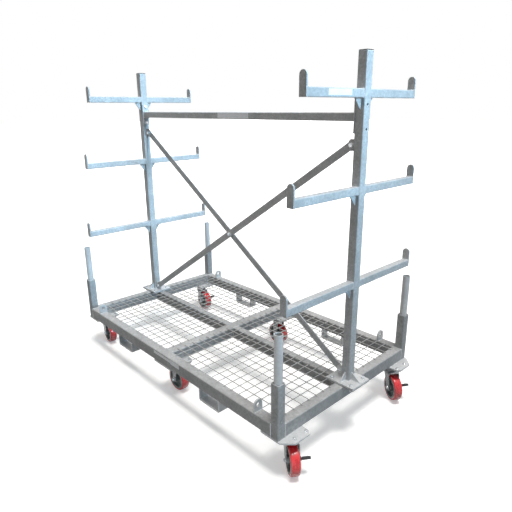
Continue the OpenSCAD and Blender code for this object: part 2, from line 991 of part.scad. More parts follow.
module rear_right_axle() {
    color(zinc) at_castor(1, 1, rear_right_turn) trailing_axle();
}

// Brake lever on the axle outside the leg, with a pedal bent outwards
module brake_lever() {
    blade_w = lever_boss_r;
    tip_x = lever_boss_r + pedal_w - blade_w / 2;
    translate([trail, lever_y, axle_z]) rotate([0, -lever_rise, 0]) {
        difference() {
            translate([0, lever_t / 2, 0]) upright_plate(lever_t) {
                circle(lever_boss_r);
                polygon([
                    [0, -lever_boss_r], [tip_x, -blade_w / 2], [tip_x, blade_w / 2], [0, lever_boss_r]
                ]);
                translate([tip_x, 0]) circle(d = blade_w);
            }
            translate([0, -cut, 0]) rotate([-90, 0, 0])
                cylinder(d = axle_d + 2 * running_fit, h = lever_t + 2 * cut);
        }
        translate([lever_boss_r + pedal_w / 2, 0, -lever_t / 2]) linear_extrude(lever_t) {
            translate([0, pedal_l / 2]) round_rect(pedal_w, pedal_l, pedal_w * pedal_corner_share);
            translate([-pedal_w / 2, 0]) square([pedal_w, pedal_l / 2]);
        }
    }
}

module front_left_brake_lever() {
    color(black_plastic) at_castor(-1, -1, front_left_turn) brake_lever();
}

module front_right_brake_lever() {
    color(black_plastic) at_castor(1, -1, front_right_turn) brake_lever();
}

module rear_left_brake_lever() {
    color(black_plastic) at_castor(-1, 1, rear_left_turn) brake_lever();
}

module rear_right_brake_lever() {
    color(black_plastic) at_castor(1, 1, rear_right_turn) brake_lever();
}

// Wheel core turned in one piece: hub, pierced web and rim
module wheel_core() {
    web_r0 = hub_d / 2;
    web_r1 = core_r - rim_t;
    bore_r = axle_d / 2 + running_fit;
    translate([0, 0, axle_z]) rotate([90, 0, 0]) difference() {
        rotate_extrude() polygon([
            [bore_r, -hub_l / 2], [web_r0, -hub_l / 2], [web_r0, -web_t / 2], [web_r1, -web_t / 2],
            [web_r1, -rim_w / 2], [core_r, -rim_w / 2], [core_r, rim_w / 2], [web_r1, rim_w / 2],
            [web_r1, web_t / 2], [web_r0, web_t / 2], [web_r0, hub_l / 2], [bore_r, hub_l / 2]
        ]);
        for (i = [0 : web_holes - 1]) {
            rotate([0, 0, i * 360 / web_holes]) translate([(web_r0 + web_r1) / 2, 0, -web_t])
                cylinder(d = (web_r1 - web_r0) * hole_share, h = 2 * web_t);
        }
    }
}

// Polyurethane tyre with its tread edges taken off
module tyre() {
    r = wheel_d / 2;
    w = tyre_w / 2;
    translate([0, 0, axle_z]) rotate([90, 0, 0]) rotate_extrude() polygon([
        [core_r, -w], [r - tread_edge, -w], [r, tread_edge - w],
        [r, w - tread_edge], [r - tread_edge, w], [core_r, w]
    ]);
}

module trailing(sx, sy, turn) {
    at_castor(sx, sy, turn) translate([trail, 0, 0]) children();
}

module at_mid(sy) {
    translate([0, sy * castor_y, 0]) children();
}

module front_left_wheel_core() {
    color(cast_grey) trailing(-1, -1, front_left_turn) wheel_core();
}

module front_mid_wheel_core() {
    color(cast_grey) at_mid(-1) wheel_core();
}

module front_right_wheel_core() {
    color(cast_grey) trailing(1, -1, front_right_turn) wheel_core();
}

module rear_left_wheel_core() {
    color(cast_grey) trailing(-1, 1, rear_left_turn) wheel_core();
}

module rear_mid_wheel_core() {
    color(cast_grey) at_mid(1) wheel_core();
}

module rear_right_wheel_core() {
    color(cast_grey) trailing(1, 1, rear_right_turn) wheel_core();
}

module front_left_tyre() {
    color(polyurethane) trailing(-1, -1, front_left_turn) tyre();
}

module front_mid_tyre() {
    color(polyurethane) at_mid(-1) tyre();
}

module front_right_tyre() {
    color(polyurethane) trailing(1, -1, front_right_turn) tyre();
}

module rear_left_tyre() {
    color(polyurethane) trailing(-1, 1, rear_left_turn) tyre();
}

module rear_mid_tyre() {
    color(polyurethane) at_mid(1) tyre();
}

module rear_right_tyre() {
    color(polyurethane) trailing(1, 1, rear_right_turn) tyre();
}

front_side_rail();
rear_side_rail();
left_end_rail();
right_end_rail();
mid_cross_member();
spine_beams();
front_left_mesh();
front_right_mesh();
rear_left_mesh();
rear_right_mesh();
corner_sockets();
tie_down_lugs();
fork_loops();
castor_mounting_plates();
castor_bolts();
left_upright();
right_upright();
upright_feet();
upright_caps();
left_low_arms();
left_mid_arms();
left_top_arms();
right_low_arms();
right_mid_arms();
right_top_arms();
top_tie_bar();
rising_brace();
falling_brace();
frame_bolts();
front_left_stake();
front_right_stake();
rear_left_stake();
rear_right_stake();
swivel_heads();
fixed_forks();
front_left_fork();
front_right_fork();
rear_left_fork();
rear_right_fork();
front_left_axle();
front_right_axle();
rear_left_axle();
rear_right_axle();
front_left_brake_lever();
front_right_brake_lever();
rear_left_brake_lever();
rear_right_brake_lever();
front_left_wheel_core();
front_mid_wheel_core();
front_right_wheel_core();
rear_left_wheel_core();
rear_mid_wheel_core();
rear_right_wheel_core();
front_left_tyre();
front_mid_tyre();
front_right_tyre();
rear_left_tyre();
rear_mid_tyre();
rear_right_tyre();
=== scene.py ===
# %% [markdown]
# # A pipe trolley in galvanised steel
# A pipe trolley carries long tube and bar round a workshop: a welded deck frame on castors, two
# bolted uprights with arms on both sides, and a pipe stake in each corner. The solids of the frame,
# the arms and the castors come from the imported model. Here they get their finish, and the parts
# that a plain solid leaves out are modelled: round deck wires, weld beads, washers and threads,
# rounded tyres, moulded caps and blank plates.

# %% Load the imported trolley
import json
import math

import bmesh
import bpy
from mathutils import Euler, Matrix, Vector


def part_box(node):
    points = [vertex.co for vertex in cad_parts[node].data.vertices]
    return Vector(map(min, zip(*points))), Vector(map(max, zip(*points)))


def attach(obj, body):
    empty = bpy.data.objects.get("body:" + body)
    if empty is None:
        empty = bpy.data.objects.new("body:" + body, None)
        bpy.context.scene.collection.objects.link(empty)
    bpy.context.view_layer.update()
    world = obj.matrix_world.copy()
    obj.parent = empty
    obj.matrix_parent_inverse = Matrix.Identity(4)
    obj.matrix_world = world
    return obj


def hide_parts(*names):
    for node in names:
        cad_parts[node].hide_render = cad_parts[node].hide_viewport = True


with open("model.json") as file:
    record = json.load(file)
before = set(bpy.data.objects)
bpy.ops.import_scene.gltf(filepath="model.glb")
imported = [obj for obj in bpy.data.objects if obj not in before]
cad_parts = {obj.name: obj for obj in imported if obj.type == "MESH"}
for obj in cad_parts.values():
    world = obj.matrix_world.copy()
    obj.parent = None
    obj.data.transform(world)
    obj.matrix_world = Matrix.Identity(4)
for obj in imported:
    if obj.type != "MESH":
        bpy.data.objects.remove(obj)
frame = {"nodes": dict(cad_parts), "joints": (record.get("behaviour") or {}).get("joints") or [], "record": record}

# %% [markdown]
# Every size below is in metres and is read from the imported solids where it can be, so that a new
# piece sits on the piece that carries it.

MM = 0.001
nodes = frame["nodes"]
joints = {joint["name"]: joint for joint in frame["joints"]}
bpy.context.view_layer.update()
CORNERS = ("front_left", "front_right", "rear_left", "rear_right")
CASTORS = CORNERS + ("front_mid", "rear_mid")

cross_low, cross_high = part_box("mid_cross_member")
spine_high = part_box("spine_beams")[1]
side_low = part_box("front_side_rail")[0]
end_low, end_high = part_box("right_end_rail")
deck_top = cross_high.z
frame_bottom = cross_low.z
print("deck height:", round(deck_top, 4))

# %% [markdown]
# ## The camera
# The photographed view looks down on the near end of the deck from about head height. The camera
# was found from the corners of the sockets and the tips of the arms, so it is a place, three
# turns and a lens, and the picture needs no shift.

# %% Camera
LENS = 33.44
SENSOR_W = 36
NEAREST = 0.05
FARTHEST = 200
EYE = Vector((2.3128, -1.9479, 1.7403))
TURN = math.radians(46.724)
TILT = math.radians(72.663)
ROLL = math.radians(-0.402)

camera_data = bpy.data.cameras.new("camera")
camera_data.lens = LENS
camera_data.sensor_width = SENSOR_W
camera_data.clip_start = NEAREST
camera_data.clip_end = FARTHEST
camera = bpy.data.objects.new("camera", camera_data)
bpy.context.scene.collection.objects.link(camera)
aim = Euler((TILT, 0, TURN)).to_matrix() @ Matrix.Rotation(ROLL, 3, "Z")
camera.rotation_euler = aim.to_euler()
camera.location = EYE
bpy.context.scene.camera = camera
print("camera at", [round(v, 2) for v in EYE], "looking", [round(v, 2) for v in aim @ Vector((0, 0, -1))])

# %% [markdown]
# ## Floor, background and light
# A plain white floor takes a soft shadow, and the background is plain white on every side. The
# floor could be lit until it is white everywhere, but then the shadow and the steel would bleach
# too. So it glows a little near the trolley and fully some metres away, where it has to meet the
# background, and only for rays that come from the camera, a reflection or glass. Light that bounces
# off it sees a darker floor, or it would fill the dark faces from below.
# The sky that lights the steel is another one than the white sky that is seen, and is not even: it
# is blue at the near end, warm and bright overhead, plain behind and at the far end, and dim in
# front. So the end faces turn pale blue and the front faces stay dark. A wide sun, almost straight
# above, lays a soft shadow under each rail and wheel. Softened spot lamps at the near end and in
# front are aimed at the arms, and fade towards the deck. A narrow one shines over the near rack
# on the far one, and a weak one fills the near corner.

# %% Helpers for nodes
def new_material(name):
    """A new material, its node tree and its shader."""
    material = bpy.data.materials.new(name)
    material.use_nodes = True
    tree = material.node_tree
    return material, tree, tree.nodes["Principled BSDF"]


def feed(tree, value, socket):
    """Give a socket another node's output, or else a constant."""
    if isinstance(value, bpy.types.NodeSocket):
        tree.links.new(value, socket)
    else:
        socket.default_value = value


def maths(tree, operation, one, other):
    """The result of a Math node on two numbers."""
    node = tree.nodes.new("ShaderNodeMath")
    node.operation = operation
    feed(tree, one, node.inputs[0])
    feed(tree, other, node.inputs[1])
    return node.outputs["Value"]


def vector_maths(tree, operation, one, other=None):
    """The result of a Vector Math node. LENGTH takes one vector, and SCALE a vector and a number."""
    node = tree.nodes.new("ShaderNodeVectorMath")
    node.operation = operation
    feed(tree, one, node.inputs[0])
    if other is not None:
        feed(tree, other, node.inputs["Scale"] if operation == "SCALE" else node.inputs[1])
    return node.outputs["Value" if operation in ("LENGTH", "DOT_PRODUCT") else "Vector"]


def spread(tree, value, low, high, start=0.0, end=1.0, way="LINEAR"):
    """A value between start and end, spread from low to high. SMOOTHSTEP eases in and out."""
    ranged = tree.nodes.new("ShaderNodeMapRange")
    ranged.interpolation_type = way
    for name, limit in (("From Min", start), ("From Max", end), ("To Min", low), ("To Max", high)):
        ranged.inputs[name].default_value = limit
    feed(tree, value, ranged.inputs["Value"])
    return ranged.outputs["Result"]


def blend(tree, factor, first, second):
    """A colour between two others. Each is plain red, green and blue, or another node's output."""
    mix = tree.nodes.new("ShaderNodeMix")
    mix.data_type = "RGBA"
    feed(tree, factor, mix.inputs["Factor"])
    for color, socket in ((first, mix.inputs["A"]), (second, mix.inputs["B"])):
        feed(tree, (*color, 1) if isinstance(color, tuple) else color, socket)
    return mix.outputs["Result"]


def shown_to_camera_and_mirrors(tree, rays):
    """1 for what the camera sees, straight or by a reflection or through glass, else 0."""
    straight_or_mirrored = maths(tree, "MAXIMUM", rays["Is Camera Ray"], rays["Is Glossy Ray"])
    return maths(tree, "MAXIMUM", straight_or_mirrored, rays["Is Transmission Ray"])


# %% Floor
WHITE = (1, 1, 1)
FLOOR_SIZE = 120
FLOOR_SEEN = (0.92, 0.91, 0.90)
FLOOR_BOUNCE = (0.05, 0.05, 0.05)
FLOOR_ROUGH = 0.9
FLOOR_GLOW = 0.30
WHITE_FROM = 2.5
WHITE_AT = 7.0


def deselect():
    """Operators act on all that is selected, so each step starts with nothing selected."""
    bpy.ops.object.select_all(action="DESELECT")


deselect()
bpy.ops.mesh.primitive_plane_add(size=FLOOR_SIZE, location=(0, 0, 0))
floor = bpy.context.object
floor.name = "floor"
floor_paint, tree, shader = new_material("floor_paint")
shader.inputs["Roughness"].default_value = FLOOR_ROUGH
shader.inputs["Specular IOR Level"].default_value = 0.0
shader.inputs["Emission Color"].default_value = (*WHITE, 1)
rays = tree.nodes.new("ShaderNodeLightPath").outputs
place = tree.nodes.new("ShaderNodeTexCoord").outputs["Object"]
away_from_trolley = vector_maths(tree, "LENGTH", place)
glow = spread(tree, away_from_trolley, FLOOR_GLOW, 1.0, WHITE_FROM, WHITE_AT, "SMOOTHSTEP")
shown = shown_to_camera_and_mirrors(tree, rays)
feed(tree, blend(tree, rays["Is Diffuse Ray"], FLOOR_SEEN, FLOOR_BOUNCE), shader.inputs["Base Color"])
feed(tree, maths(tree, "MULTIPLY", shown, glow), shader.inputs["Emission Strength"])
floor.data.materials.append(floor_paint)

print("floor glows fully from", WHITE_AT, "metres out")

# %% Sky
DIM = (0.105, 0.100, 0.094)
END_SKY = (0.18, 0.49, 0.72)
END_FROM = 0.55
TOP_SKY = (0.66, 0.65, 0.63)
TOP_FROM = 0.70
REAR_SKY = (0.84, 0.85, 0.86)
REAR_FROM = 0.35
REAR_WAY = (-0.72, 0.69, 0.0)

world = bpy.data.worlds.new("studio")
bpy.context.scene.world = world
world.use_nodes = True
tree = world.node_tree
background = tree.nodes["Background"]
background.inputs["Strength"].default_value = 1.0
way = tree.nodes.new("ShaderNodeTexCoord").outputs["Generated"]
parts = tree.nodes.new("ShaderNodeSeparateXYZ")
feed(tree, way, parts.inputs["Vector"])
backwards = vector_maths(tree, "DOT_PRODUCT", way, REAR_WAY)
light = DIM
for value, start, color in (
        (parts.outputs["X"], END_FROM, END_SKY),
        (parts.outputs["Z"], TOP_FROM, TOP_SKY),
        (backwards, REAR_FROM, REAR_SKY)):
    share = spread(tree, value, 0.0, 1.0, start, 1.0, "SMOOTHSTEP")
    light = vector_maths(tree, "ADD", light, vector_maths(tree, "SCALE", color, share))
shown = shown_to_camera_and_mirrors(tree, tree.nodes.new("ShaderNodeLightPath").outputs)
feed(tree, blend(tree, shown, light, WHITE), background.inputs["Color"])
print("sky at the near end, overhead and behind:", END_SKY, TOP_SKY, REAR_SKY)

# %% Lamps
SUN_STRENGTH = 2.5
SUN_COLOR = (1.0, 0.985, 0.96)
SUN_HEIGHT = math.radians(80)
SUN_WIDTH = math.radians(17)
LAMP_R = 0.6
# A spot has a strength, a colour, a place, a point to aim at and the width of its cone in degrees.
SPOTS = {
    "end_spot": (7800, (0.48, 0.77, 1.0), (12.0, 0.9, 4.8), (0, -0.30, 1.90), 16),
    "far_spot": (2100, (0.60, 0.82, 1.0), (4.5, 0, 5.5), (-0.975, 0, 1.2), 15),
    "front_spot": (900, (1.0, 0.95, 0.88), (-2.0, -12.0, 5.0), (0, 0, 1.95), 19),
    "corner_spot": (185, (0.94, 0.98, 1.0), (3.8, -3.6, 1.2), (0.95, -0.45, 0.15), 26),
}


def lamp(name, kind, strength, color, source, target):
    """A lamp at a place, turned to shine at another."""
    data = bpy.data.lights.new(name, kind)
    data.energy = strength
    data.color = color
    holder = bpy.data.objects.new(name, data)
    bpy.context.scene.collection.objects.link(holder)
    holder.location = source
    holder.rotation_euler = (Vector(target) - Vector(source)).to_track_quat("-Z", "Y").to_euler()
    return data


sun_way = (math.cos(SUN_HEIGHT), 0, math.sin(SUN_HEIGHT))
sun = lamp("overhead_sun", "SUN", SUN_STRENGTH, SUN_COLOR, sun_way, (0, 0, 0))
sun.angle = SUN_WIDTH
for name, (strength, color, source, target, cone) in SPOTS.items():
    spot = lamp(name, "SPOT", strength, color, source, target)
    spot.spot_size = math.radians(cone)
    spot.spot_blend = 1.0
    spot.shadow_soft_size = LAMP_R
bpy.context.scene.view_settings.view_transform = "Standard"
print("lamps: a sun and", len(SPOTS), "spots")

# %% [markdown]
# ## Finishes
# Hot-dip galvanised steel is grey zinc that froze in crystals. The crystals show as a faint
# patchwork, up to a centimetre across, each a little lighter, darker, smoother or rougher than its
# neighbours, over a slow cloudiness where the zinc ran off. A Voronoi texture gives the crystals
# and a noise texture the clouds. Both read the object's own coordinates, so the pattern is in
# real size and stays put. Bevel nodes round the light on edges that the solids keep sharp.
# The coat isn't the same everywhere. The heavy rails and beams cool slowly and turn out darkest,
# and the tubes of the rack are lighter. The pipes, plates, feet, lugs and fork loops get a lighter
# copy with close tones, which is painted light for parts that lie in shade or show a bright sheen.
# The plated castors get a dark copy, a painted reflection of the dim surroundings that they
# mirror. The weld beads are coated with the frame, but their ripples hold a little more zinc and
# stay brighter. All the zinc is painted lighter on its edges, partly as wear and partly as a painted
# highlight.

# %% Crystals, clouds and soft edges
EDGE = 1.2 * MM
TUBE_EDGE = 5 * MM
BEVEL_SAMPLES = 6
EDGE_COSINE = 0.75
FLAT_COSINE = 0.99
GRAIN_DETAIL = 3
GRAIN_STRENGTH = 0.5


def crystals_of(tree, place, size):
    """A random value for each zinc crystal, from 0 to 1."""
    cells = tree.nodes.new("ShaderNodeTexVoronoi")
    cells.inputs["Scale"].default_value = 1 / size
    cells.inputs["Randomness"].default_value = 1.0
    single = tree.nodes.new("ShaderNodeSeparateColor")
    feed(tree, place, cells.inputs["Vector"])
    feed(tree, cells.outputs["Color"], single.inputs["Color"])
    return single.outputs["Red"]


def clouds_of(tree, place, size, detail, roughness=0.5):
    """Soft noise from 0 to 1: slow clouds where its size is large, and grain where it is small."""
    noise = tree.nodes.new("ShaderNodeTexNoise")
    noise.inputs["Scale"].default_value = 1 / size
    noise.inputs["Detail"].default_value = detail
    noise.inputs["Roughness"].default_value = roughness
    feed(tree, place, noise.inputs["Vector"])
    return noise.outputs["Fac"]


def softened(tree, edge):
    """Normals of edges rounded to a radius, by a Bevel node."""
    rounded = tree.nodes.new("ShaderNodeBevel")
    rounded.samples = BEVEL_SAMPLES
    rounded.inputs["Radius"].default_value = edge
    return rounded.outputs["Normal"]


def near_edge(tree, rounded):
    """0 on a flat face, rising to 1 on an edge, where the rounded normal leaves the face's own."""
    own = tree.nodes.new("ShaderNodeNewGeometry").outputs["True Normal"]
    same = vector_maths(tree, "DOT_PRODUCT", rounded, own)
    return spread(tree, same, 1.0, 0.0, EDGE_COSINE, FLAT_COSINE)


def grain(tree, place, rounded, size, depth):
    """A fine bump over normals that are rounded already."""
    bump = tree.nodes.new("ShaderNodeBump")
    bump.inputs["Strength"].default_value = GRAIN_STRENGTH
    bump.inputs["Distance"].default_value = depth
    feed(tree, clouds_of(tree, place, size, GRAIN_DETAIL), bump.inputs["Height"])
    feed(tree, rounded, bump.inputs["Normal"])
    return bump.outputs["Normal"]


# %% Galvanised and plated steel
WEAR_AND_HIGHLIGHT_SHARE = 1.5
BRIGHTEST = 0.95
CRYSTAL_TONES = (0.45, 1.0)
CLOUD_TONES = (0.35, 1.0)
CLOUD_RANGE = (0.3, 0.7)
CLOUD_DETAIL = 5
CLOUD_ROUGHNESS = 0.6
ROUGH_SPREAD = 0.08
ZINC_GRAIN = 0.9 * MM
ZINC_GRAIN_DEPTH = 0.05 * MM


def zinc_finish(name, dark, light, crystal, cloud, rough, metal, edge=EDGE, specular=0.5):
    """Zinc on steel: crystals and clouds between a dark and a light tone, lighter on the edges, partly as wear and
    partly as a painted highlight.
    """
    material, tree, shader = new_material(name)
    place = tree.nodes.new("ShaderNodeTexCoord").outputs["Object"]
    crystals = crystals_of(tree, place, crystal)
    clouds = clouds_of(tree, place, cloud, CLOUD_DETAIL, CLOUD_ROUGHNESS)
    faint = spread(tree, clouds, *CLOUD_TONES, *CLOUD_RANGE)
    patch = maths(tree, "MULTIPLY", spread(tree, crystals, *CRYSTAL_TONES), faint)
    rounded = softened(tree, edge)
    # The edge tone is lighter: partly wear, partly a painted highlight along the tube corners.
    wear_and_highlight_tone = tuple(min(BRIGHTEST, WEAR_AND_HIGHLIGHT_SHARE * tone) for tone in light)
    color = blend(tree, near_edge(tree, rounded), blend(tree, patch, dark, light), wear_and_highlight_tone)
    uneven = spread(tree, crystals, rough - ROUGH_SPREAD, rough + ROUGH_SPREAD)
    feed(tree, color, shader.inputs["Base Color"])
    feed(tree, uneven, shader.inputs["Roughness"])
    feed(tree, grain(tree, place, rounded, ZINC_GRAIN, ZINC_GRAIN_DEPTH), shader.inputs["Normal"])
    shader.inputs["Metallic"].default_value = metal
    shader.inputs["Specular IOR Level"].default_value = specular
    return material


galvanised = zinc_finish(
    "galvanised", dark=(0.31, 0.315, 0.32), light=(0.62, 0.625, 0.63), crystal=9 * MM, cloud=160 * MM,
    rough=0.40, metal=0.04, edge=TUBE_EDGE, specular=0.15)
frame_zinc = zinc_finish(
    "frame_zinc", dark=(0.25, 0.25, 0.25), light=(0.53, 0.53, 0.53), crystal=10 * MM, cloud=180 * MM,
    rough=0.42, metal=0.03, edge=TUBE_EDGE, specular=0.12)
# A lighter copy of the zinc: painted light for fittings that lie in shade and stakes that show a bright sheen.
painted_light_zinc = zinc_finish(
    "painted_light_zinc", dark=(0.47, 0.475, 0.48), light=(0.67, 0.675, 0.68), crystal=9 * MM, cloud=120 * MM,
    rough=0.36, metal=0.1)
wire_zinc = zinc_finish(
    "wire_zinc", dark=(0.31, 0.305, 0.295), light=(0.53, 0.52, 0.505), crystal=3 * MM, cloud=50 * MM,
    rough=0.40, metal=0.08)
bright_zinc = zinc_finish(
    "bright_zinc", dark=(0.50, 0.52, 0.54), light=(0.74, 0.76, 0.78), crystal=2 * MM, cloud=30 * MM,
    rough=0.26, metal=0.5)
# A dark copy of bright zinc: a painted reflection of the dim surroundings that the plated castors mirror.
castor_painted_reflection_zinc = zinc_finish(
    "castor_painted_reflection_zinc", dark=(0.10, 0.105, 0.11), light=(0.24, 0.25, 0.26), crystal=2.5 * MM, cloud=20 * MM,
    rough=0.28, metal=0.7)
weld_metal = zinc_finish(
    "weld_metal", dark=(0.40, 0.41, 0.42), light=(0.58, 0.59, 0.60), crystal=4 * MM, cloud=20 * MM,
    rough=0.42, metal=0.35)
print("zinc finishes:", [material.name for material in bpy.data.materials if "zinc" in material.name])

# %% [markdown]
# The tyres are cast polyurethane: a clear, deep red that shines where it is new and goes dull
# where it has rolled. The cast cores are grey, the levers painted black, and the caps and pads
# moulded in black plastic. All are two close tones in soft clouds, with a fine grain.

# %% Polyurethane, cast iron, paint and plastic
CAST_RANGE = (0.35, 0.65)
CAST_DETAIL = 6
SHINIER = 0.07
DULLER = 0.12
COAT_ROUGHNESS = 0.12


def cast_finish(name, dark, light, cloud, rough, metal, grit, depth, coat=None):
    """A cast, moulded or painted surface: two close tones in soft clouds, with a fine grain."""
    material, tree, shader = new_material(name)
    place = tree.nodes.new("ShaderNodeTexCoord").outputs["Object"]
    clouds = clouds_of(tree, place, cloud, CAST_DETAIL)
    tone = spread(tree, clouds, 0.0, 1.0, *CAST_RANGE)
    uneven = spread(tree, clouds, rough - SHINIER, rough + DULLER, *CLOUD_RANGE)
    feed(tree, blend(tree, tone, dark, light), shader.inputs["Base Color"])
    feed(tree, uneven, shader.inputs["Roughness"])
    feed(tree, grain(tree, place, softened(tree, EDGE), grit, depth), shader.inputs["Normal"])
    shader.inputs["Metallic"].default_value = metal
    if coat is not None:
        shader.inputs["Coat Weight"].default_value = coat
        shader.inputs["Coat Roughness"].default_value = COAT_ROUGHNESS
    return material


red_tyre = cast_finish(
    "red_polyurethane", dark=(0.64, 0.015, 0.021), light=(0.80, 0.028, 0.036), cloud=30 * MM,
    rough=0.26, metal=0.0, grit=2 * MM, depth=0.05 * MM, coat=0.4)
cast_core = cast_finish(
    "cast_core", dark=(0.16, 0.175, 0.17), light=(0.30, 0.32, 0.31), cloud=20 * MM,
    rough=0.48, metal=0.4, grit=1.2 * MM, depth=0.15 * MM)
black_coat = cast_finish(
    "black_coat", dark=(0.018, 0.018, 0.02), light=(0.035, 0.035, 0.037), cloud=20 * MM,
    rough=0.42, metal=0.0, grit=1.0 * MM, depth=0.06 * MM)
black_plastic = cast_finish(
    "black_plastic", dark=(0.012, 0.012, 0.013), light=(0.022, 0.022, 0.024), cloud=15 * MM,
    rough=0.5, metal=0.0, grit=0.6 * MM, depth=0.08 * MM)
plate_white = cast_finish(
    "plate_white", dark=(0.84, 0.85, 0.88), light=(0.92, 0.93, 0.95), cloud=20 * MM,
    rough=0.35, metal=0.0, grit=1.5 * MM, depth=0.02 * MM)
print("materials so far:", len(bpy.data.materials))

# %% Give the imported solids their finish
FINISH_OF_SLOT = {
    "galvanised_steel": galvanised,
    "bright_zinc": bright_zinc,
    "black_plastic": black_plastic,
    "black_lever": black_coat,
    "cast_core": cast_core,
    "red_tyre": red_tyre,
}
slot_of = {part["node"]: part["material_slot"] for part in frame["record"]["subparts"]}
# These fittings get the lighter zinc, as painted light on parts in shade or with a bright sheen.
painted_light_fittings = ["upright_feet", "castor_mounting_plates", "tie_down_lugs", "fork_loops"]
painted_light_fittings += [f"{corner}_stake" for corner in CORNERS]
# The castor parts get the dark zinc, a painted reflection.
painted_reflection_pressings = ["swivel_heads", "fixed_forks"] + [f"{corner}_fork" for corner in CORNERS]
heavy_sections = ["front_side_rail", "rear_side_rail", "left_end_rail", "right_end_rail"]
heavy_sections += ["mid_cross_member", "spine_beams", "corner_sockets"]


def finish_with(piece, material):
    piece.data.materials.clear()
    piece.data.materials.append(material)


for node, slot in slot_of.items():
    finish_with(nodes[node], FINISH_OF_SLOT[slot])
for names, material in (
        (painted_light_fittings, painted_light_zinc),
        (painted_reflection_pressings, castor_painted_reflection_zinc),
        (heavy_sections, frame_zinc)):
    for name in names:
        finish_with(nodes[name], material)
print("solids finished:", len(nodes))

# %% [markdown]
# ## How the new pieces are made
# Each new piece starts as a primitive at its size and place. It is shaped in edit mode, where the
# faces to work on are picked by where they lie, or by modifiers that are applied at once. Last it
# is settled: its place goes into its mesh, so that the object itself stays at the origin like the
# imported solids. What repeats is modelled once and copied, and every copy has a mesh of its own.

# %% Select and pick
FLAT = 0.01 * MM
SMOOTH = math.radians(35)


def newest(name):
    piece = bpy.context.object
    piece.name = name
    piece.data.name = name
    return piece


def only(piece):
    """Select one piece alone and make it the active one."""
    deselect()
    piece.select_set(True)
    bpy.context.view_layer.objects.active = piece


def open_mesh(piece, kind):
    """Edit mode with nothing picked; kind is VERT, EDGE or FACE."""
    only(piece)
    bpy.ops.object.mode_set(mode="EDIT")
    bpy.ops.mesh.select_mode(type=kind)
    bpy.ops.mesh.select_all(action="DESELECT")


def close_mesh():
    bpy.ops.object.mode_set(mode="OBJECT")


def pick(piece, kind, wanted):
    """Pick the vertices, edges or faces whose middle passes a test, and drop the rest."""
    shape = bmesh.from_edit_mesh(piece.data)
    items = {"VERT": shape.verts, "EDGE": shape.edges, "FACE": shape.faces}[kind]
    bpy.ops.mesh.select_all(action="DESELECT")
    for item in items:
        if kind == "VERT":
            middle = item.co
        elif kind == "EDGE":
            middle = (item.verts[0].co + item.verts[1].co) / 2
        else:
            middle = item.calc_center_median()
        if wanted(middle):
            item.select_set(True)
    shape.select_flush_mode()
    bmesh.update_edit_mesh(piece.data)


# %% Shape, copy and join
def settle(piece):
    """Put the piece's place, turn and scale into its mesh."""
    only(piece)
    bpy.ops.object.transform_apply(location=True, rotation=True, scale=True)
    return piece


def modify(piece, kind, **settings):
    """Add a modifier, set it and apply it."""
    only(piece)
    modifier = piece.modifiers.new(kind.lower(), kind)
    for setting, value in settings.items():
        setattr(modifier, setting, value)
    bpy.ops.object.modifier_apply(modifier=modifier.name)


def repeat(piece, count, step):
    """A row of copies, each one step further than the last."""
    modify(piece, "ARRAY", count=count, use_relative_offset=False, use_constant_offset=True,
           constant_offset_displace=step)


def round_off(piece, width, segments):
    """Bevel every sharp edge."""
    modify(piece, "BEVEL", width=width, segments=segments, limit_method="ANGLE", angle_limit=SMOOTH)


def bevel_where(piece, wanted, width, segments):
    """Bevel only the edges whose middle passes a test."""
    open_mesh(piece, "EDGE")
    pick(piece, "EDGE", wanted)
    bpy.ops.mesh.bevel(offset=width, segments=segments, affect="EDGES")
    close_mesh()


def copy_of(master, name, place=Matrix.Identity(4)):
    """A copy with a mesh of its own, moved by a matrix. A mirrored copy is turned right side out."""
    twin = master.copy()
    twin.data = master.data.copy()
    twin.data.transform(place)
    if place.determinant() < 0:
        twin.data.flip_normals()
    twin.name = name
    twin.data.name = name
    bpy.context.scene.collection.objects.link(twin)
    return twin


def joined(pieces, name):
    """One piece made of several."""
    deselect()
    for piece in pieces:
        piece.select_set(True)
    bpy.context.view_layer.objects.active = pieces[0]
    bpy.ops.object.join()
    return newest(name)


def remove(piece):
    mesh = piece.data
    bpy.data.objects.remove(piece)
    bpy.data.meshes.remove(mesh)


def smooth(piece, angle=SMOOTH):
    only(piece)
    bpy.ops.object.shade_smooth_by_angle(angle=angle)


# %% Measure and fit out
def span(node, axis, wanted):
    """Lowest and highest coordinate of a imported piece, among its points that pass a test."""
    values = [point.co[axis] for point in nodes[node].data.vertices if wanted(point.co)]
    return min(values), max(values)


def fit_out(piece, material, body, slot, *stands_for):
    """Give a finished piece its material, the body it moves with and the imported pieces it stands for."""
    finish_with(piece, material)
    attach(piece, body)
    if stands_for:
        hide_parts(*stands_for)


# %% [markdown]
# ## The wire deck
# The deck is a welded mesh of round wire: long wires lie on top of cross wires, and each crossing
# is melted a little into the next. A rod is a cylinder with the rims of its cut ends bevelled. An
# array sets out the rods that are alike. Three are shorter, because a lug or the seat plate of the
# upright stands in their way. One quarter of the deck is made and then mirrored into the others.

# %% One wire
WIRE_D = 5 * MM
WIRE_SIDES = 12
CUT_RIM = 0.7 * MM


def rod(name, start, run):
    """A wire from one point along a run, with softened ends."""
    start = Vector(start)
    run = Vector(run)
    turn = run.to_track_quat("Z", "Y").to_euler()
    bpy.ops.mesh.primitive_cylinder_add(
        vertices=WIRE_SIDES, radius=WIRE_D / 2, depth=run.length, location=start + run / 2, rotation=turn)
    wire = settle(newest(name))
    way = run.normalized()
    ends = (start.dot(way), (start + run).dot(way))
    bevel_where(wire, lambda p: min(abs(p.dot(way) - end) for end in ends) < FLAT, CUT_RIM, 2)
    return wire


# %% Where the wires go
WIRE_PITCH = 57.5 * MM
WIRE_WELD = 1 * MM
WIRE_ROOM = 3 * MM

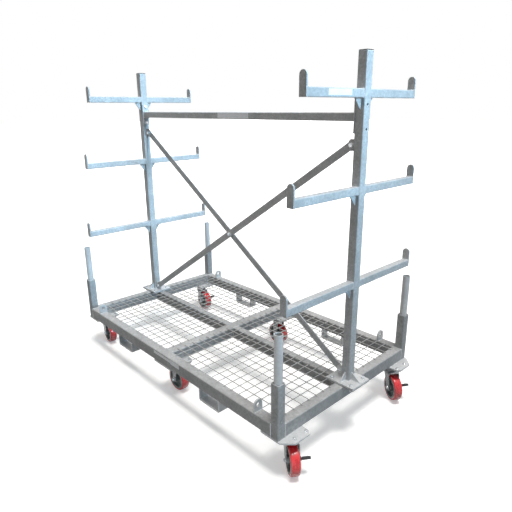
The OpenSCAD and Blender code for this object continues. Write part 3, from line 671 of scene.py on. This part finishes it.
mesh_low, mesh_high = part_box("rear_right_mesh")
foot_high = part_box("upright_feet")[1]
lug_x = span("tie_down_lugs", 0, lambda p: p.x > 0)
lug_y = span("tie_down_lugs", 1, lambda p: p.y > 0)


def places(first_wall, second_wall):
    """First place and number of the wires centred between two walls."""
    room = second_wall - first_wall
    count = int(room / WIRE_PITCH)
    return first_wall + (room - (count - 1) * WIRE_PITCH) / 2, count


first_x, columns = places(cross_high.x, spine_high.x)
first_y, rows = places(spine_high.y, cross_high.y)
notch_x = end_low.x - WIRE_ROOM
notch_y = foot_high.y + WIRE_ROOM
cross_z = deck_top + WIRE_D / 2
long_z = cross_z + WIRE_D - WIRE_WELD
span_y = mesh_high.y - mesh_low.y
span_x = mesh_high.x - mesh_low.x
print("wires in a quarter of the deck:", columns, "across and", rows, "along")

# %% Deck wires
cross_wire = rod("cross_wires", (first_x, mesh_low.y, cross_z), (0, span_y, 0))
repeat(cross_wire, columns - 2, (WIRE_PITCH, 0, 0))
lug_column = first_x + (columns - 2) * WIRE_PITCH
lug_wire = rod("lug_wire", (lug_column, mesh_low.y, cross_z), (0, lug_y[0] - WIRE_ROOM - mesh_low.y, 0))
seat_column = first_x + (columns - 1) * WIRE_PITCH
seat_wire = rod("seat_wire", (seat_column, notch_y, cross_z), (0, mesh_high.y - notch_y, 0))
long_wire = rod("long_wires", (mesh_low.x, first_y + WIRE_PITCH, long_z), (span_x, 0, 0))
repeat(long_wire, rows - 1, (0, WIRE_PITCH, 0))
short_wire = rod("short_wire", (mesh_low.x, first_y, long_z), (notch_x - mesh_low.x, 0, 0))
quarter = joined([cross_wire, lug_wire, seat_wire, long_wire, short_wire], "rear_right_deck_wires")
smooth(quarter)

for corner in CORNERS:
    flip = Matrix.Diagonal((-1 if "left" in corner else 1, -1 if "front" in corner else 1, 1, 1))
    panel = copy_of(quarter, f"{corner}_wires", flip)
    fit_out(panel, wire_zinc, "frame", slot_of[f"{corner}_mesh"], f"{corner}_mesh")
print("faces in a quarter of the deck wires:", len(quarter.data.polygons))
remove(quarter)

# %% [markdown]
# ## Weld beads
# Arms, plates, ribs and rails are welded, and a bead shows at every joint. A bead is a row of
# ripples, each laid partly over the last. A ripple is a small sphere squashed along the bead, an
# array repeats it along the joint, and its points are nudged at random, since no bead is regular.
# The trolley is the same in all four quarters, so only one quarter's beads are listed and a mirror
# modifier does the rest.

# %% Ripple and bead
BEAD_R = 2.8 * MM
RIPPLE_SIDES = 8
RIPPLE_RINGS = 4
RIPPLE_PITCH = 3.0 * MM
RIPPLE_SQUASH = 0.72
RIPPLE_NUDGE = 0.22 * MM
BEAD_SMOOTH = math.radians(60)
MARGIN = 2 * MM

bpy.ops.mesh.primitive_uv_sphere_add(segments=RIPPLE_SIDES, ring_count=RIPPLE_RINGS, radius=BEAD_R)
ripple = newest("ripple")
bpy.ops.transform.resize(value=(RIPPLE_SQUASH, 1, 1))
settle(ripple)


def bead(start, end):
    """A row of ripples from one point to another."""
    start = Vector(start)
    run = Vector(end) - start
    count = max(2, round(run.length / RIPPLE_PITCH))
    place = Matrix.Translation(start) @ run.to_track_quat("X", "Z").to_matrix().to_4x4()
    row = copy_of(ripple, "bead", place)
    repeat(row, count + 1, run / count)
    return row


def weld(name, lines):
    """All beads of one quarter as one piece, made uneven and mirrored to the other quarters."""
    piece = joined([bead(start, end) for start, end in lines], name)
    open_mesh(piece, "VERT")
    bpy.ops.mesh.select_all(action="SELECT")
    bpy.ops.transform.vertex_random(offset=RIPPLE_NUDGE, seed=len(lines))
    close_mesh()
    modify(piece, "MIRROR", use_axis=(True, True, False), use_mirror_merge=False)
    smooth(piece, BEAD_SMOOTH)
    fit_out(piece, weld_metal, "frame", "galvanised_steel")
    print(name, "lines:", len(lines), "faces:", len(piece.data.polygons))


# %% Beads on the arms
post_low, post_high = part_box("right_upright")
wall_y = post_high.y
post_x = post_high.x - wall_y
arm_lines = []
for level in ("low", "mid", "top"):
    node = f"right_{level}_arms"
    low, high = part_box(node)
    top = span(node, 2, lambda p: abs(p.y) < wall_y + MM)[1]
    under = top - (high.x - low.x)
    stop_y = span(node, 1, lambda p: p.z > top + MM and p.y > 0)[0]
    web_end = span(node, 1, lambda p: p.z < under - MM and p.y > 0)[1]
    web_x = span(node, 0, lambda p: p.z < under - MM)
    left, right = low.x + MARGIN, high.x - MARGIN
    arm_lines += [
        ((left, wall_y, top), (right, wall_y, top)),
        ((left, stop_y, top), (right, stop_y, top)),
        ((low.x, wall_y, under + MARGIN), (low.x, wall_y, top - MARGIN)),
        ((high.x, wall_y, under + MARGIN), (high.x, wall_y, top - MARGIN)),
        ((left, wall_y, under), (web_x[0] - MARGIN, wall_y, under)),
        ((web_x[1] + MARGIN, wall_y, under), (right, wall_y, under)),
    ]
    for x in web_x:
        arm_lines.append(((x, wall_y, low.z + MARGIN), (x, wall_y, under - MARGIN)))
        arm_lines.append(((x, wall_y + MARGIN, under), (x, web_end - MARGIN, under)))
weld("arm_welds", arm_lines)

# %% [markdown]
# The deck frame is welded where rails meet, round the sockets, at the lugs and fork loops, and
# where the mounting plates lie under the rails.

# %% Beads on the deck frame
socket_x, socket_outer = span("corner_sockets", 0, lambda p: p.x > 0)
socket_y = span("corner_sockets", 1, lambda p: p.y > 0)[0]
side_y = -side_low.y
rail_y = cross_high.y
rail_x = spine_high.x
loop_x = span("fork_loops", 0, lambda p: p.x > 0)
plate_x = span("castor_mounting_plates", 0, lambda p: p.x > end_high.x / 2)[0]
plate_y = span("castor_mounting_plates", 1, lambda p: p.y > 0)[0]
mid_plate = span("castor_mounting_plates", 0, lambda p: abs(p.x) < end_high.x / 2)[1]
bottom, top = frame_bottom, deck_top

frame_lines = [
    ((socket_x, side_y, bottom), (socket_x, side_y, top)),
    ((socket_outer, socket_y, bottom), (socket_outer, socket_y, top)),
    ((socket_x, socket_y + MARGIN, top), (socket_x, side_y - MARGIN, top)),
    ((rail_x + MARGIN, socket_y, top), (socket_outer - MARGIN, socket_y, top)),
    ((0, rail_y, top), (cross_high.x - MARGIN, rail_y, top)),
    ((cross_high.x, rail_y, bottom), (cross_high.x, rail_y, top)),
    ((cross_high.x, 0, top), (cross_high.x, spine_high.y - MARGIN, top)),
    ((cross_high.x, spine_high.y, bottom), (cross_high.x, spine_high.y, top - MARGIN)),
    ((rail_x, spine_high.y, bottom), (rail_x, spine_high.y, top - MARGIN)),
    ((plate_x, rail_y, bottom), (rail_x, rail_y, bottom)),
    ((rail_x, plate_y, bottom), (rail_x, rail_y, bottom)),
    ((socket_outer, plate_y, bottom), (socket_outer, socket_y, bottom)),
    ((cross_high.x, plate_y + MARGIN, bottom), (cross_high.x, rail_y, bottom)),
    ((cross_high.x, rail_y, bottom), (mid_plate, rail_y, bottom)),
]
for x in lug_x:
    frame_lines.append(((x, lug_y[0] + MARGIN, top), (x, lug_y[1] - MARGIN, top)))
for x in loop_x:
    frame_lines.append(((x, rail_y + MARGIN, bottom), (x, side_y - MARGIN, bottom)))
for x in (rail_x, socket_outer):
    frame_lines.append(((x, 0, top), (x, foot_high.y - MARGIN, top)))
weld("deck_frame_welds", frame_lines)

# %% [markdown]
# At the uprights the beads run round each tube on its foot plate, along the ribs and the brace
# ears, and round the tie bar on its end plates.

# %% Beads on the uprights
TIE_W = 40 * MM

base = post_low.z
inner_x = post_high.x - 2 * wall_y
rib_top = span("upright_feet", 2, lambda p: p.y > wall_y - FLAT)[1]
rib_end_y = span("upright_feet", 1, lambda p: p.z > base + MM)[1]
rib_end_x = span("upright_feet", 0, lambda p: p.z > base + MM)[1]
rib_half = span("upright_feet", 1, lambda p: p.z > rib_top + MM)[1]
ear_low = span("right_upright", 2, lambda p: p.x < inner_x - MM)
tie_low, tie_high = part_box("top_tie_bar")
tie_z = (tie_low.z + tie_high.z) / 2
tie_face = span("top_tie_bar", 0, lambda p: 0 < p.x < inner_x - FLAT)[1]
tie_half = TIE_W / 2

upright_lines = [
    ((inner_x + MARGIN, wall_y, base), (post_x - rib_half - MARGIN, wall_y, base)),
    ((post_x + rib_half + MARGIN, wall_y, base), (post_high.x - MARGIN, wall_y, base)),
    ((inner_x, rib_half + MARGIN, base), (inner_x, wall_y - MARGIN, base)),
    ((post_high.x, rib_half + MARGIN, base), (post_high.x, wall_y - MARGIN, base)),
    ((post_high.x, rib_half, base), (rib_end_x - MARGIN, rib_half, base)),
    ((post_high.x, rib_half, base), (post_high.x, rib_half, rib_top - MARGIN)),
    ((post_low.x + MARGIN, rib_half, base), (inner_x, rib_half, base)),
    ((inner_x, rib_half, base), (inner_x, rib_half, foot_high.z - MARGIN)),
    ((inner_x, rib_half, ear_low[0] + MARGIN), (inner_x, rib_half, ear_low[1] - MARGIN)),
    ((tie_face, 0, tie_z + tie_half), (tie_face, tie_half - MARGIN, tie_z + tie_half)),
    ((tie_face, 0, tie_z - tie_half), (tie_face, tie_half - MARGIN, tie_z - tie_half)),
    ((tie_face, tie_half, tie_z - tie_half + MARGIN), (tie_face, tie_half, tie_z + tie_half - MARGIN)),
]
for x in (post_x - rib_half, post_x + rib_half):
    upright_lines.append(((x, wall_y, base), (x, rib_end_y - MARGIN, base)))
    upright_lines.append(((x, wall_y, base), (x, wall_y, rib_top - MARGIN)))
weld("upright_welds", upright_lines)
remove(ripple)

# %% [markdown]
# ## Bolts, washers and threads
# A packed bolt is one plain solid. The dressed bolt has a hexagon head whose corners are turned
# off at 30 degrees, a washer under the head and one under the nut, and a threaded tail. The turned
# corners come from a boolean that keeps only what a hexagon and a cone share. The tail is shaped
# from the end of a cylinder by extruding it step by step, narrower and wider in turn. Each size of
# bolt is modelled once. Where a bolt goes, how thick it is and how much it grips are read from the
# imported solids.

# %% Hexagon, washer and thread
ACROSS_SHARE = 1.6
HEAD_SHARE = 0.6
NUT_SHARE = 0.8
TAIL_SHARE = 0.3
WASHER_R_SHARE = 1.0
WASHER_T_SHARE = 0.16
FACE_SHARE = 0.95
TURNED = math.radians(30)
THREAD_STEP_SHARE = 0.075
THREAD_DEPTH_SHARE = 0.1
ROUND = 28


def upright_cylinder(name, sides, radius, low, height):
    bpy.ops.mesh.primitive_cylinder_add(
        vertices=sides, radius=radius, depth=height, location=(0, 0, low + height / 2))
    return settle(newest(name))


def hexagon(name, across, low, height, turned_ends):
    """A hexagon block between two heights, its corners turned off at the top or at both ends."""
    block = upright_cylinder(name, 6, across / 2 / math.cos(TURNED), low, height)
    narrow = across / 2 * FACE_SHARE
    wide = narrow + height / math.tan(TURNED)
    for end in turned_ends:
        radii = (wide, narrow) if end == "top" else (narrow, wide)
        bpy.ops.mesh.primitive_cone_add(
            vertices=4 * ROUND, radius1=radii[0], radius2=radii[1],
            depth=height, location=(0, 0, low + height / 2))
        cone = newest("turning_cone")
        modify(block, "BOOLEAN", operation="INTERSECT", object=cone, solver="EXACT")
        remove(cone)
    return block


def washer(name, radius, low, height):
    """A flat washer with its rims softened."""
    disc = upright_cylinder(name, ROUND, radius, low, height)
    round_off(disc, height / 4, 2)
    return disc


def extrude(height):
    """Extrude the picked faces straight up, or down where the height is below zero."""
    bpy.ops.mesh.extrude_region_move(TRANSFORM_OT_translate={"value": (0, 0, height)})


def threaded_rod(name, d, top, thread_top, end):
    """A round rod with ridges below thread_top."""
    shank = upright_cylinder(name, ROUND, d / 2, thread_top, top - thread_top)
    open_mesh(shank, "FACE")
    pick(shank, "FACE", lambda p: p.z < thread_top + FLAT)
    step = THREAD_STEP_SHARE * d
    waist = 1 - 2 * THREAD_DEPTH_SHARE
    height = thread_top
    inward = True
    while height - step > end:
        height -= step
        extrude(-step)
        ratio = waist if inward else 1 / waist
        bpy.ops.transform.resize(value=(ratio, ratio, 1), center_override=(0, 0, height))
        inward = not inward
    close_mesh()
    return shank


# %% A bolt
def bolt(d, grip):
    """A bolt that hangs from its seat at height zero through a grip."""
    washer_t = WASHER_T_SHARE * d
    nut_top = -grip - washer_t
    nut_low = nut_top - NUT_SHARE * d
    parts = [
        hexagon("head", ACROSS_SHARE * d, washer_t, HEAD_SHARE * d, ("top",)),
        washer("head_washer", WASHER_R_SHARE * d, 0, washer_t),
        hexagon("nut", ACROSS_SHARE * d, nut_low, NUT_SHARE * d, ("top", "bottom")),
        washer("nut_washer", WASHER_R_SHARE * d, nut_top, washer_t),
        threaded_rod("shank", d, washer_t, nut_low + FLAT, nut_low - TAIL_SHARE * d),
    ]
    piece = joined(parts, "bolt")
    smooth(piece)
    return piece


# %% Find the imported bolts
def solids_of(node):
    """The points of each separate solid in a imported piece."""
    shape = bmesh.new()
    shape.from_mesh(nodes[node].data)
    bmesh.ops.remove_doubles(shape, verts=shape.verts, dist=FLAT)
    seen = set()
    found = []
    for first in shape.verts:
        if first in seen:
            continue
        seen.add(first)
        front = [first]
        points = []
        while front:
            vert = front.pop()
            points.append(vert.co.copy())
            for edge in vert.link_edges:
                other = edge.other_vert(vert)
                if other not in seen:
                    seen.add(other)
                    front.append(other)
        found.append(points)
    shape.free()
    return found


def bolt_site(points, axis=None):
    """Where a packed bolt seats and its head looks, with its diameter and grip in millimetres."""
    sizes = [max(p[k] for p in points) - min(p[k] for p in points) for k in range(3)]
    if axis is None:
        axis = Vector([1.0 if k == sizes.index(max(sizes)) else 0.0 for k in range(3)])
    side = axis.orthogonal().normalized()
    across = axis.cross(side)
    middle = Vector((0, 0, 0))
    for way in (side, across):
        along = [p.dot(way) for p in points]
        middle += way * (max(along) + min(along)) / 2
    along = [p.dot(axis) for p in points]
    low, high = min(along), max(along)

    def radius_at(height):
        return max((p - middle - axis * height).length for p in points if abs(p.dot(axis) - height) < FLAT)

    if radius_at(high) < radius_at(low):
        return bolt_site(points, -axis)
    d = round(2 * radius_at(low) / MM, 1)
    grip = round((high - low) / MM - d * (HEAD_SHARE + NUT_SHARE + TAIL_SHARE), 1)
    seat = middle + axis * (high - HEAD_SHARE * d * MM)
    turn = axis.to_track_quat("Z", "Y").to_matrix().to_4x4()
    return Matrix.Translation(seat) @ turn, d, grip


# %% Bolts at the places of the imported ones
bolt_masters = {}


def bolts_for(node, name, body, axis=None):
    """Dressed bolts at every packed bolt of one piece."""
    copies = []
    for points in solids_of(node):
        place, d, grip = bolt_site(points, axis)
        if (d, grip) not in bolt_masters:
            bolt_masters[d, grip] = bolt(d * MM, grip * MM)
        copies.append(copy_of(bolt_masters[d, grip], "bolt_copy", place))
    count = len(copies)
    piece = joined(copies, name)
    fit_out(piece, bright_zinc, body, slot_of[node], node)
    return count


print("castor bolts:", bolts_for("castor_bolts", "castor_bolts_dressed", "frame"))
print("frame bolts:", bolts_for("frame_bolts", "frame_bolts_dressed", "frame"))
for corner in CORNERS:
    axle = Vector(joints[f"{corner}_wheel_spin"]["axis"])
    bolts_for(f"{corner}_axle", f"{corner}_axle_dressed", f"{corner}_fork", axle)
print("sizes of bolt, diameter and grip:", sorted(bolt_masters))
for master in bolt_masters.values():
    remove(master)

# %% [markdown]
# The braces run on the two faces of their ears, so a gap as thick as an ear is left where they
# cross. A spacer ring fills it and the crossing bolt goes through it. The ring starts as a
# cylinder between the braces, its flat faces are inset and pushed in to leave a raised land round
# the rim, and its corners are bevelled.

# %% Spacer at the crossing
SPACER_R = 12 * MM
LAND_W = 3 * MM
LAND_T = 0.5 * MM
SPACER_EDGE = 0.4 * MM

rising_low, rising_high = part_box("rising_brace")
falling_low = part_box("falling_brace")[0]
gap = falling_low.y - rising_high.y
cross_height = (rising_low.z + rising_high.z) / 2
bpy.ops.mesh.primitive_cylinder_add(
    vertices=ROUND, radius=SPACER_R, depth=gap, rotation=(math.radians(90), 0, 0),
    location=(0, (falling_low.y + rising_high.y) / 2, cross_height))
spacer = settle(newest("crossing_spacer"))
open_mesh(spacer, "FACE")
for face_y, inward in ((rising_high.y, 1), (falling_low.y, -1)):
    pick(spacer, "FACE", lambda p: abs(p.y - face_y) < FLAT)
    bpy.ops.mesh.inset(thickness=LAND_W)
    bpy.ops.transform.translate(value=(0, inward * LAND_T, 0))
close_mesh()
round_off(spacer, SPACER_EDGE, 2)
smooth(spacer)
fit_out(spacer, bright_zinc, "frame", slot_of["frame_bolts"])
print("spacer between the braces, thickness:", round(gap, 4), "at height", round(cross_height, 3))

# %% [markdown]
# ## Tyres
# A packed tyre has a plain chamfered edge. The real one is cast round its core, with a flat tread
# and full, soft shoulders. Its section is a flat face in the plane through the axle. The two tread
# corners are bevelled wide and the two at the core a little, and then the section is spun round
# the axle. The first face is removed before the spin, or it would stay inside as a wall.

# %% Tyres
SHOULDER = 9 * MM
CORE_EDGE = 1.5 * MM
TURNS = 72

tyre_low, tyre_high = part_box("front_mid_tyre")
core_low, core_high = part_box("front_mid_wheel_core")
tyre_r = (tyre_high.z - tyre_low.z) / 2
core_r = (core_high.z - core_low.z) / 2
tyre_half = (tyre_high.y - tyre_low.y) / 2
tyre_middle = (tyre_r + core_r) / 2

bpy.ops.mesh.primitive_plane_add(size=2, location=(0, 0, tyre_middle), rotation=(0, math.pi / 2, 0))
tyre = newest("tyre")
bpy.ops.transform.resize(value=(1, tyre_half, (tyre_r - core_r) / 2))
settle(tyre)
open_mesh(tyre, "VERT")
pick(tyre, "VERT", lambda p: p.z > tyre_r - FLAT)
bpy.ops.mesh.bevel(offset=SHOULDER, segments=6, affect="VERTICES")
pick(tyre, "VERT", lambda p: p.z < core_r + FLAT)
bpy.ops.mesh.bevel(offset=CORE_EDGE, segments=2, affect="VERTICES")
bpy.ops.mesh.select_all(action="SELECT")
bpy.ops.mesh.delete(type="ONLY_FACE")
bpy.ops.mesh.select_all(action="SELECT")
bpy.ops.mesh.spin(steps=TURNS, angle=2 * math.pi, center=(0, 0, 0), axis=(0, 1, 0))
bpy.ops.mesh.select_all(action="SELECT")
bpy.ops.mesh.remove_doubles(threshold=FLAT)
bpy.ops.mesh.normals_make_consistent(inside=False)
close_mesh()
smooth(tyre)
for castor in CASTORS:
    spin = joints[f"{castor}_wheel_spin"]
    turn = Vector(spin["axis"]).to_track_quat("Y", "Z").to_matrix().to_4x4()
    place = Matrix.Translation(Vector(spin["pos_m"])) @ turn
    rolled = copy_of(tyre, f"{castor}_rounded_tyre", place)
    fit_out(rolled, red_tyre, f"{castor}_wheel", slot_of[f"{castor}_tyre"], f"{castor}_tyre")
print("tyre radius and width:", round(tyre_r, 4), round(2 * tyre_half, 4))
print("faces of one tyre:", len(tyre.data.polygons))
remove(tyre)

# %% [markdown]
# ## Pedal pads
# Each brake lever ends in a flat pedal. A thick moulded pad is drawn over it, with ribs across its
# top that keep a boot from slipping. The pedal stands at a slant on a castor that is turned, so
# the pad is modelled flat at the origin, where the pedal lies along the axes, and is then carried
# to each lever by the matrix of that lever. The pad is a cube with its outer corners bevelled
# wide and all its edges a little. One rib is a narrow cube with a rounded top, and an array
# repeats it.

# %% Where the pedals are
PEDAL_RISE = math.radians(38)
UP = Vector((0, 0, 1))


def lever_frame(corner):
    """Axes of a lever from its pivot: along it, out from the wheel, and off the pedal's face."""
    spin = joints[f"{corner}_wheel_spin"]
    pivot = Vector(spin["pos_m"])
    out = Vector(spin["axis"])
    low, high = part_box(f"{corner}_brake_lever")
    if ((low + high) / 2 - pivot).dot(out) < 0:
        out = -out
    level = Matrix((out.cross(UP), out, UP)).transposed().to_4x4()
    return Matrix.Translation(pivot) @ level @ Matrix.Rotation(-PEDAL_RISE, 4, "Y")


to_lever = lever_frame("front_right").inverted()
lever_points = [to_lever @ point.co for point in nodes["front_right_brake_lever"].data.vertices]
pedal_end = max(p.y for p in lever_points)
blade_face = max(p.y for p in lever_points if p.x < 0)
pedal_points = [p for p in lever_points if p.y > (pedal_end + blade_face) / 2]
pedal_x = min(p.x for p in pedal_points), max(p.x for p in pedal_points)
pedal_top = max(p.z for p in pedal_points)
print("pedal along the lever:", [round(x, 4) for x in pedal_x], "out to", round(pedal_end, 4))

# %% Pedal pads
PAD_OVER = 5 * MM
PAD_ROOM = 2 * MM
PAD_CORNER = 7 * MM
PAD_EDGE = 1.6 * MM
RIB_W = 2.2 * MM
RIB_T = 1.8 * MM
RIB_PITCH = 5 * MM
RIB_EDGE = 0.7 * MM
RIB_SUNK = 0.2 * MM


def box_between(name, low, high):
    """A cube stretched between two corners, to be shaped further."""
    bpy.ops.mesh.primitive_cube_add(size=1, location=(low + high) / 2)
    piece = newest(name)
    bpy.ops.transform.resize(value=high - low)
    return settle(piece)


pad_low = Vector((pedal_x[0] - PAD_ROOM, blade_face + PAD_ROOM, -pedal_top - PAD_OVER))
pad_high = Vector((pedal_x[1] + PAD_OVER, pedal_end + PAD_OVER, pedal_top + PAD_OVER))
pad = box_between("pedal_pad", pad_low, pad_high)
bevel_where(pad, lambda p: abs(p.z) < FLAT and p.y > pad_high.y - FLAT, PAD_CORNER, 5)
round_off(pad, PAD_EDGE, 3)

rib_low = Vector((pad_low.x + PAD_OVER, pad_low.y + PAD_OVER, pad_high.z - RIB_SUNK))
rib_high = Vector((pad_high.x - PAD_OVER, rib_low.y + RIB_W, pad_high.z + RIB_T))
rib_count = int((pad_high.y - PAD_OVER - rib_low.y) / RIB_PITCH)
rib = box_between("pedal_rib", rib_low, rib_high)
bevel_where(rib, lambda p: p.z > rib_high.z - FLAT, RIB_EDGE, 3)
repeat(rib, rib_count, (0, RIB_PITCH, 0))
pad = joined([pad, rib], "pedal_pad")
smooth(pad)
for corner in CORNERS:
    lever = f"{corner}_brake_lever"
    fit_out(copy_of(pad, f"{corner}_pedal_pad", lever_frame(corner)), black_plastic, lever, slot_of[lever])
remove(pad)
print("ribs on each pedal pad:", rib_count)

# %% [markdown]
# ## Caps
# The uprights are closed by moulded caps: a rim the size of the tube, a pad raised on it, and a
# hollow plug underneath. The cap is one cube with round corners, inset and extruded upwards for
# the pad and downwards for the plug, and then all its edges are softened.

# %% Caps
PAD_IN = 6 * MM
PAD_RISE = 1.2 * MM
PLUG_IN = 3.1 * MM
PLUG_WALL = 2 * MM
PLUG_HOLLOW = 0.8
RIM_T = 4 * MM
CAP_CORNER = 4.5 * MM
CAP_EDGE = 1 * MM

cap_low, cap_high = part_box("upright_caps")
rim_z = cap_high.z - RIM_T
plug_depth = rim_z - cap_low.z
rim_low = Vector((post_x - wall_y, -wall_y, rim_z))
rim_high = Vector((post_x + wall_y, wall_y, cap_high.z))
cap = box_between("cap", rim_low, rim_high)
bevel_where(cap, lambda p: abs(p.z - (rim_z + cap_high.z) / 2) < FLAT, CAP_CORNER, 4)
open_mesh(cap, "FACE")
pick(cap, "FACE", lambda p: p.z > cap_high.z - FLAT)
bpy.ops.mesh.inset(thickness=PAD_IN)
extrude(PAD_RISE)
pick(cap, "FACE", lambda p: p.z < rim_z + FLAT)
bpy.ops.mesh.inset(thickness=PLUG_IN)
extrude(-plug_depth)
bpy.ops.mesh.inset(thickness=PLUG_WALL)
extrude(plug_depth * PLUG_HOLLOW)
close_mesh()
round_off(cap, CAP_EDGE, 3)
smooth(cap)
other_cap = copy_of(cap, "left_cap", Matrix.Diagonal((-1, 1, 1, 1)))
caps = joined([cap, other_cap], "rounded_caps")
fit_out(caps, black_plastic, "frame", slot_of["upright_caps"], "upright_caps")
print("caps at height", round(cap_high.z, 3), "faces:", len(caps.data.polygons))

# %% [markdown]
# ## Blank plates
# Four thin white plates lie flat on the metal: one on the tie bar, one on the top arm at the
# right end and two on the front rail. Each one is a thin cube whose four corners are bevelled
# round.

# %% One plate
PLATE_T = 0.4 * MM
PLATE_CORNER = 2 * MM


def plate(name, low, high, axis):
    """A thin plate between two corners, with round corners, flat along one axis."""
    low = Vector(low)
    high = Vector(high)
    middle = (low + high)[axis] / 2
    sheet = box_between(name, low, high)
    bevel_where(sheet, lambda p: abs(p[axis] - middle) < FLAT, PLATE_CORNER, 4)
    smooth(sheet)
    return sheet


# %% Four plates
TIE_PLATE_X = (-73 * MM, 208 * MM)
TIE_PLATE_Z = (-16 * MM, 16 * MM)
ARM_PLATE_Y = (-282 * MM, -118 * MM)
ARM_PLATE_Z = (-31 * MM, -5 * MM)
LONG_PLATE_X = (-87 * MM, 91 * MM)
LONG_PLATE_Z = (47 * MM, 66 * MM)
SHORT_PLATE_X = (93 * MM, 185 * MM)
SHORT_PLATE_Z = (40 * MM, 68 * MM)

arm_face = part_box("right_top_arms")[1].x
arm_top = span("right_top_arms", 2, lambda p: abs(p.y) < wall_y + MM)[1]


def front_plate(name, face, across, level, heights):
    """A plate on a face that looks to the front, with its heights counted from a level."""
    low = (across[0], face - PLATE_T, level + heights[0])
    high = (across[1], face, level + heights[1])
    return plate(name, low, high, 1)


plates = [
    front_plate("tie_plate", -tie_half, TIE_PLATE_X, tie_z, TIE_PLATE_Z),
    front_plate("long_rail_plate", side_low.y, LONG_PLATE_X, frame_bottom, LONG_PLATE_Z),
    front_plate("short_rail_plate", side_low.y, SHORT_PLATE_X, frame_bottom, SHORT_PLATE_Z),
    plate(
        "arm_plate", (arm_face, ARM_PLATE_Y[0], arm_top + ARM_PLATE_Z[0]),
        (arm_face + PLATE_T, ARM_PLATE_Y[1], arm_top + ARM_PLATE_Z[1]), 0),
]
blank_plates = joined(plates, "blank_plates")
fit_out(blank_plates, plate_white, "frame", "galvanised_steel")
print("blank plates:", len(plates))
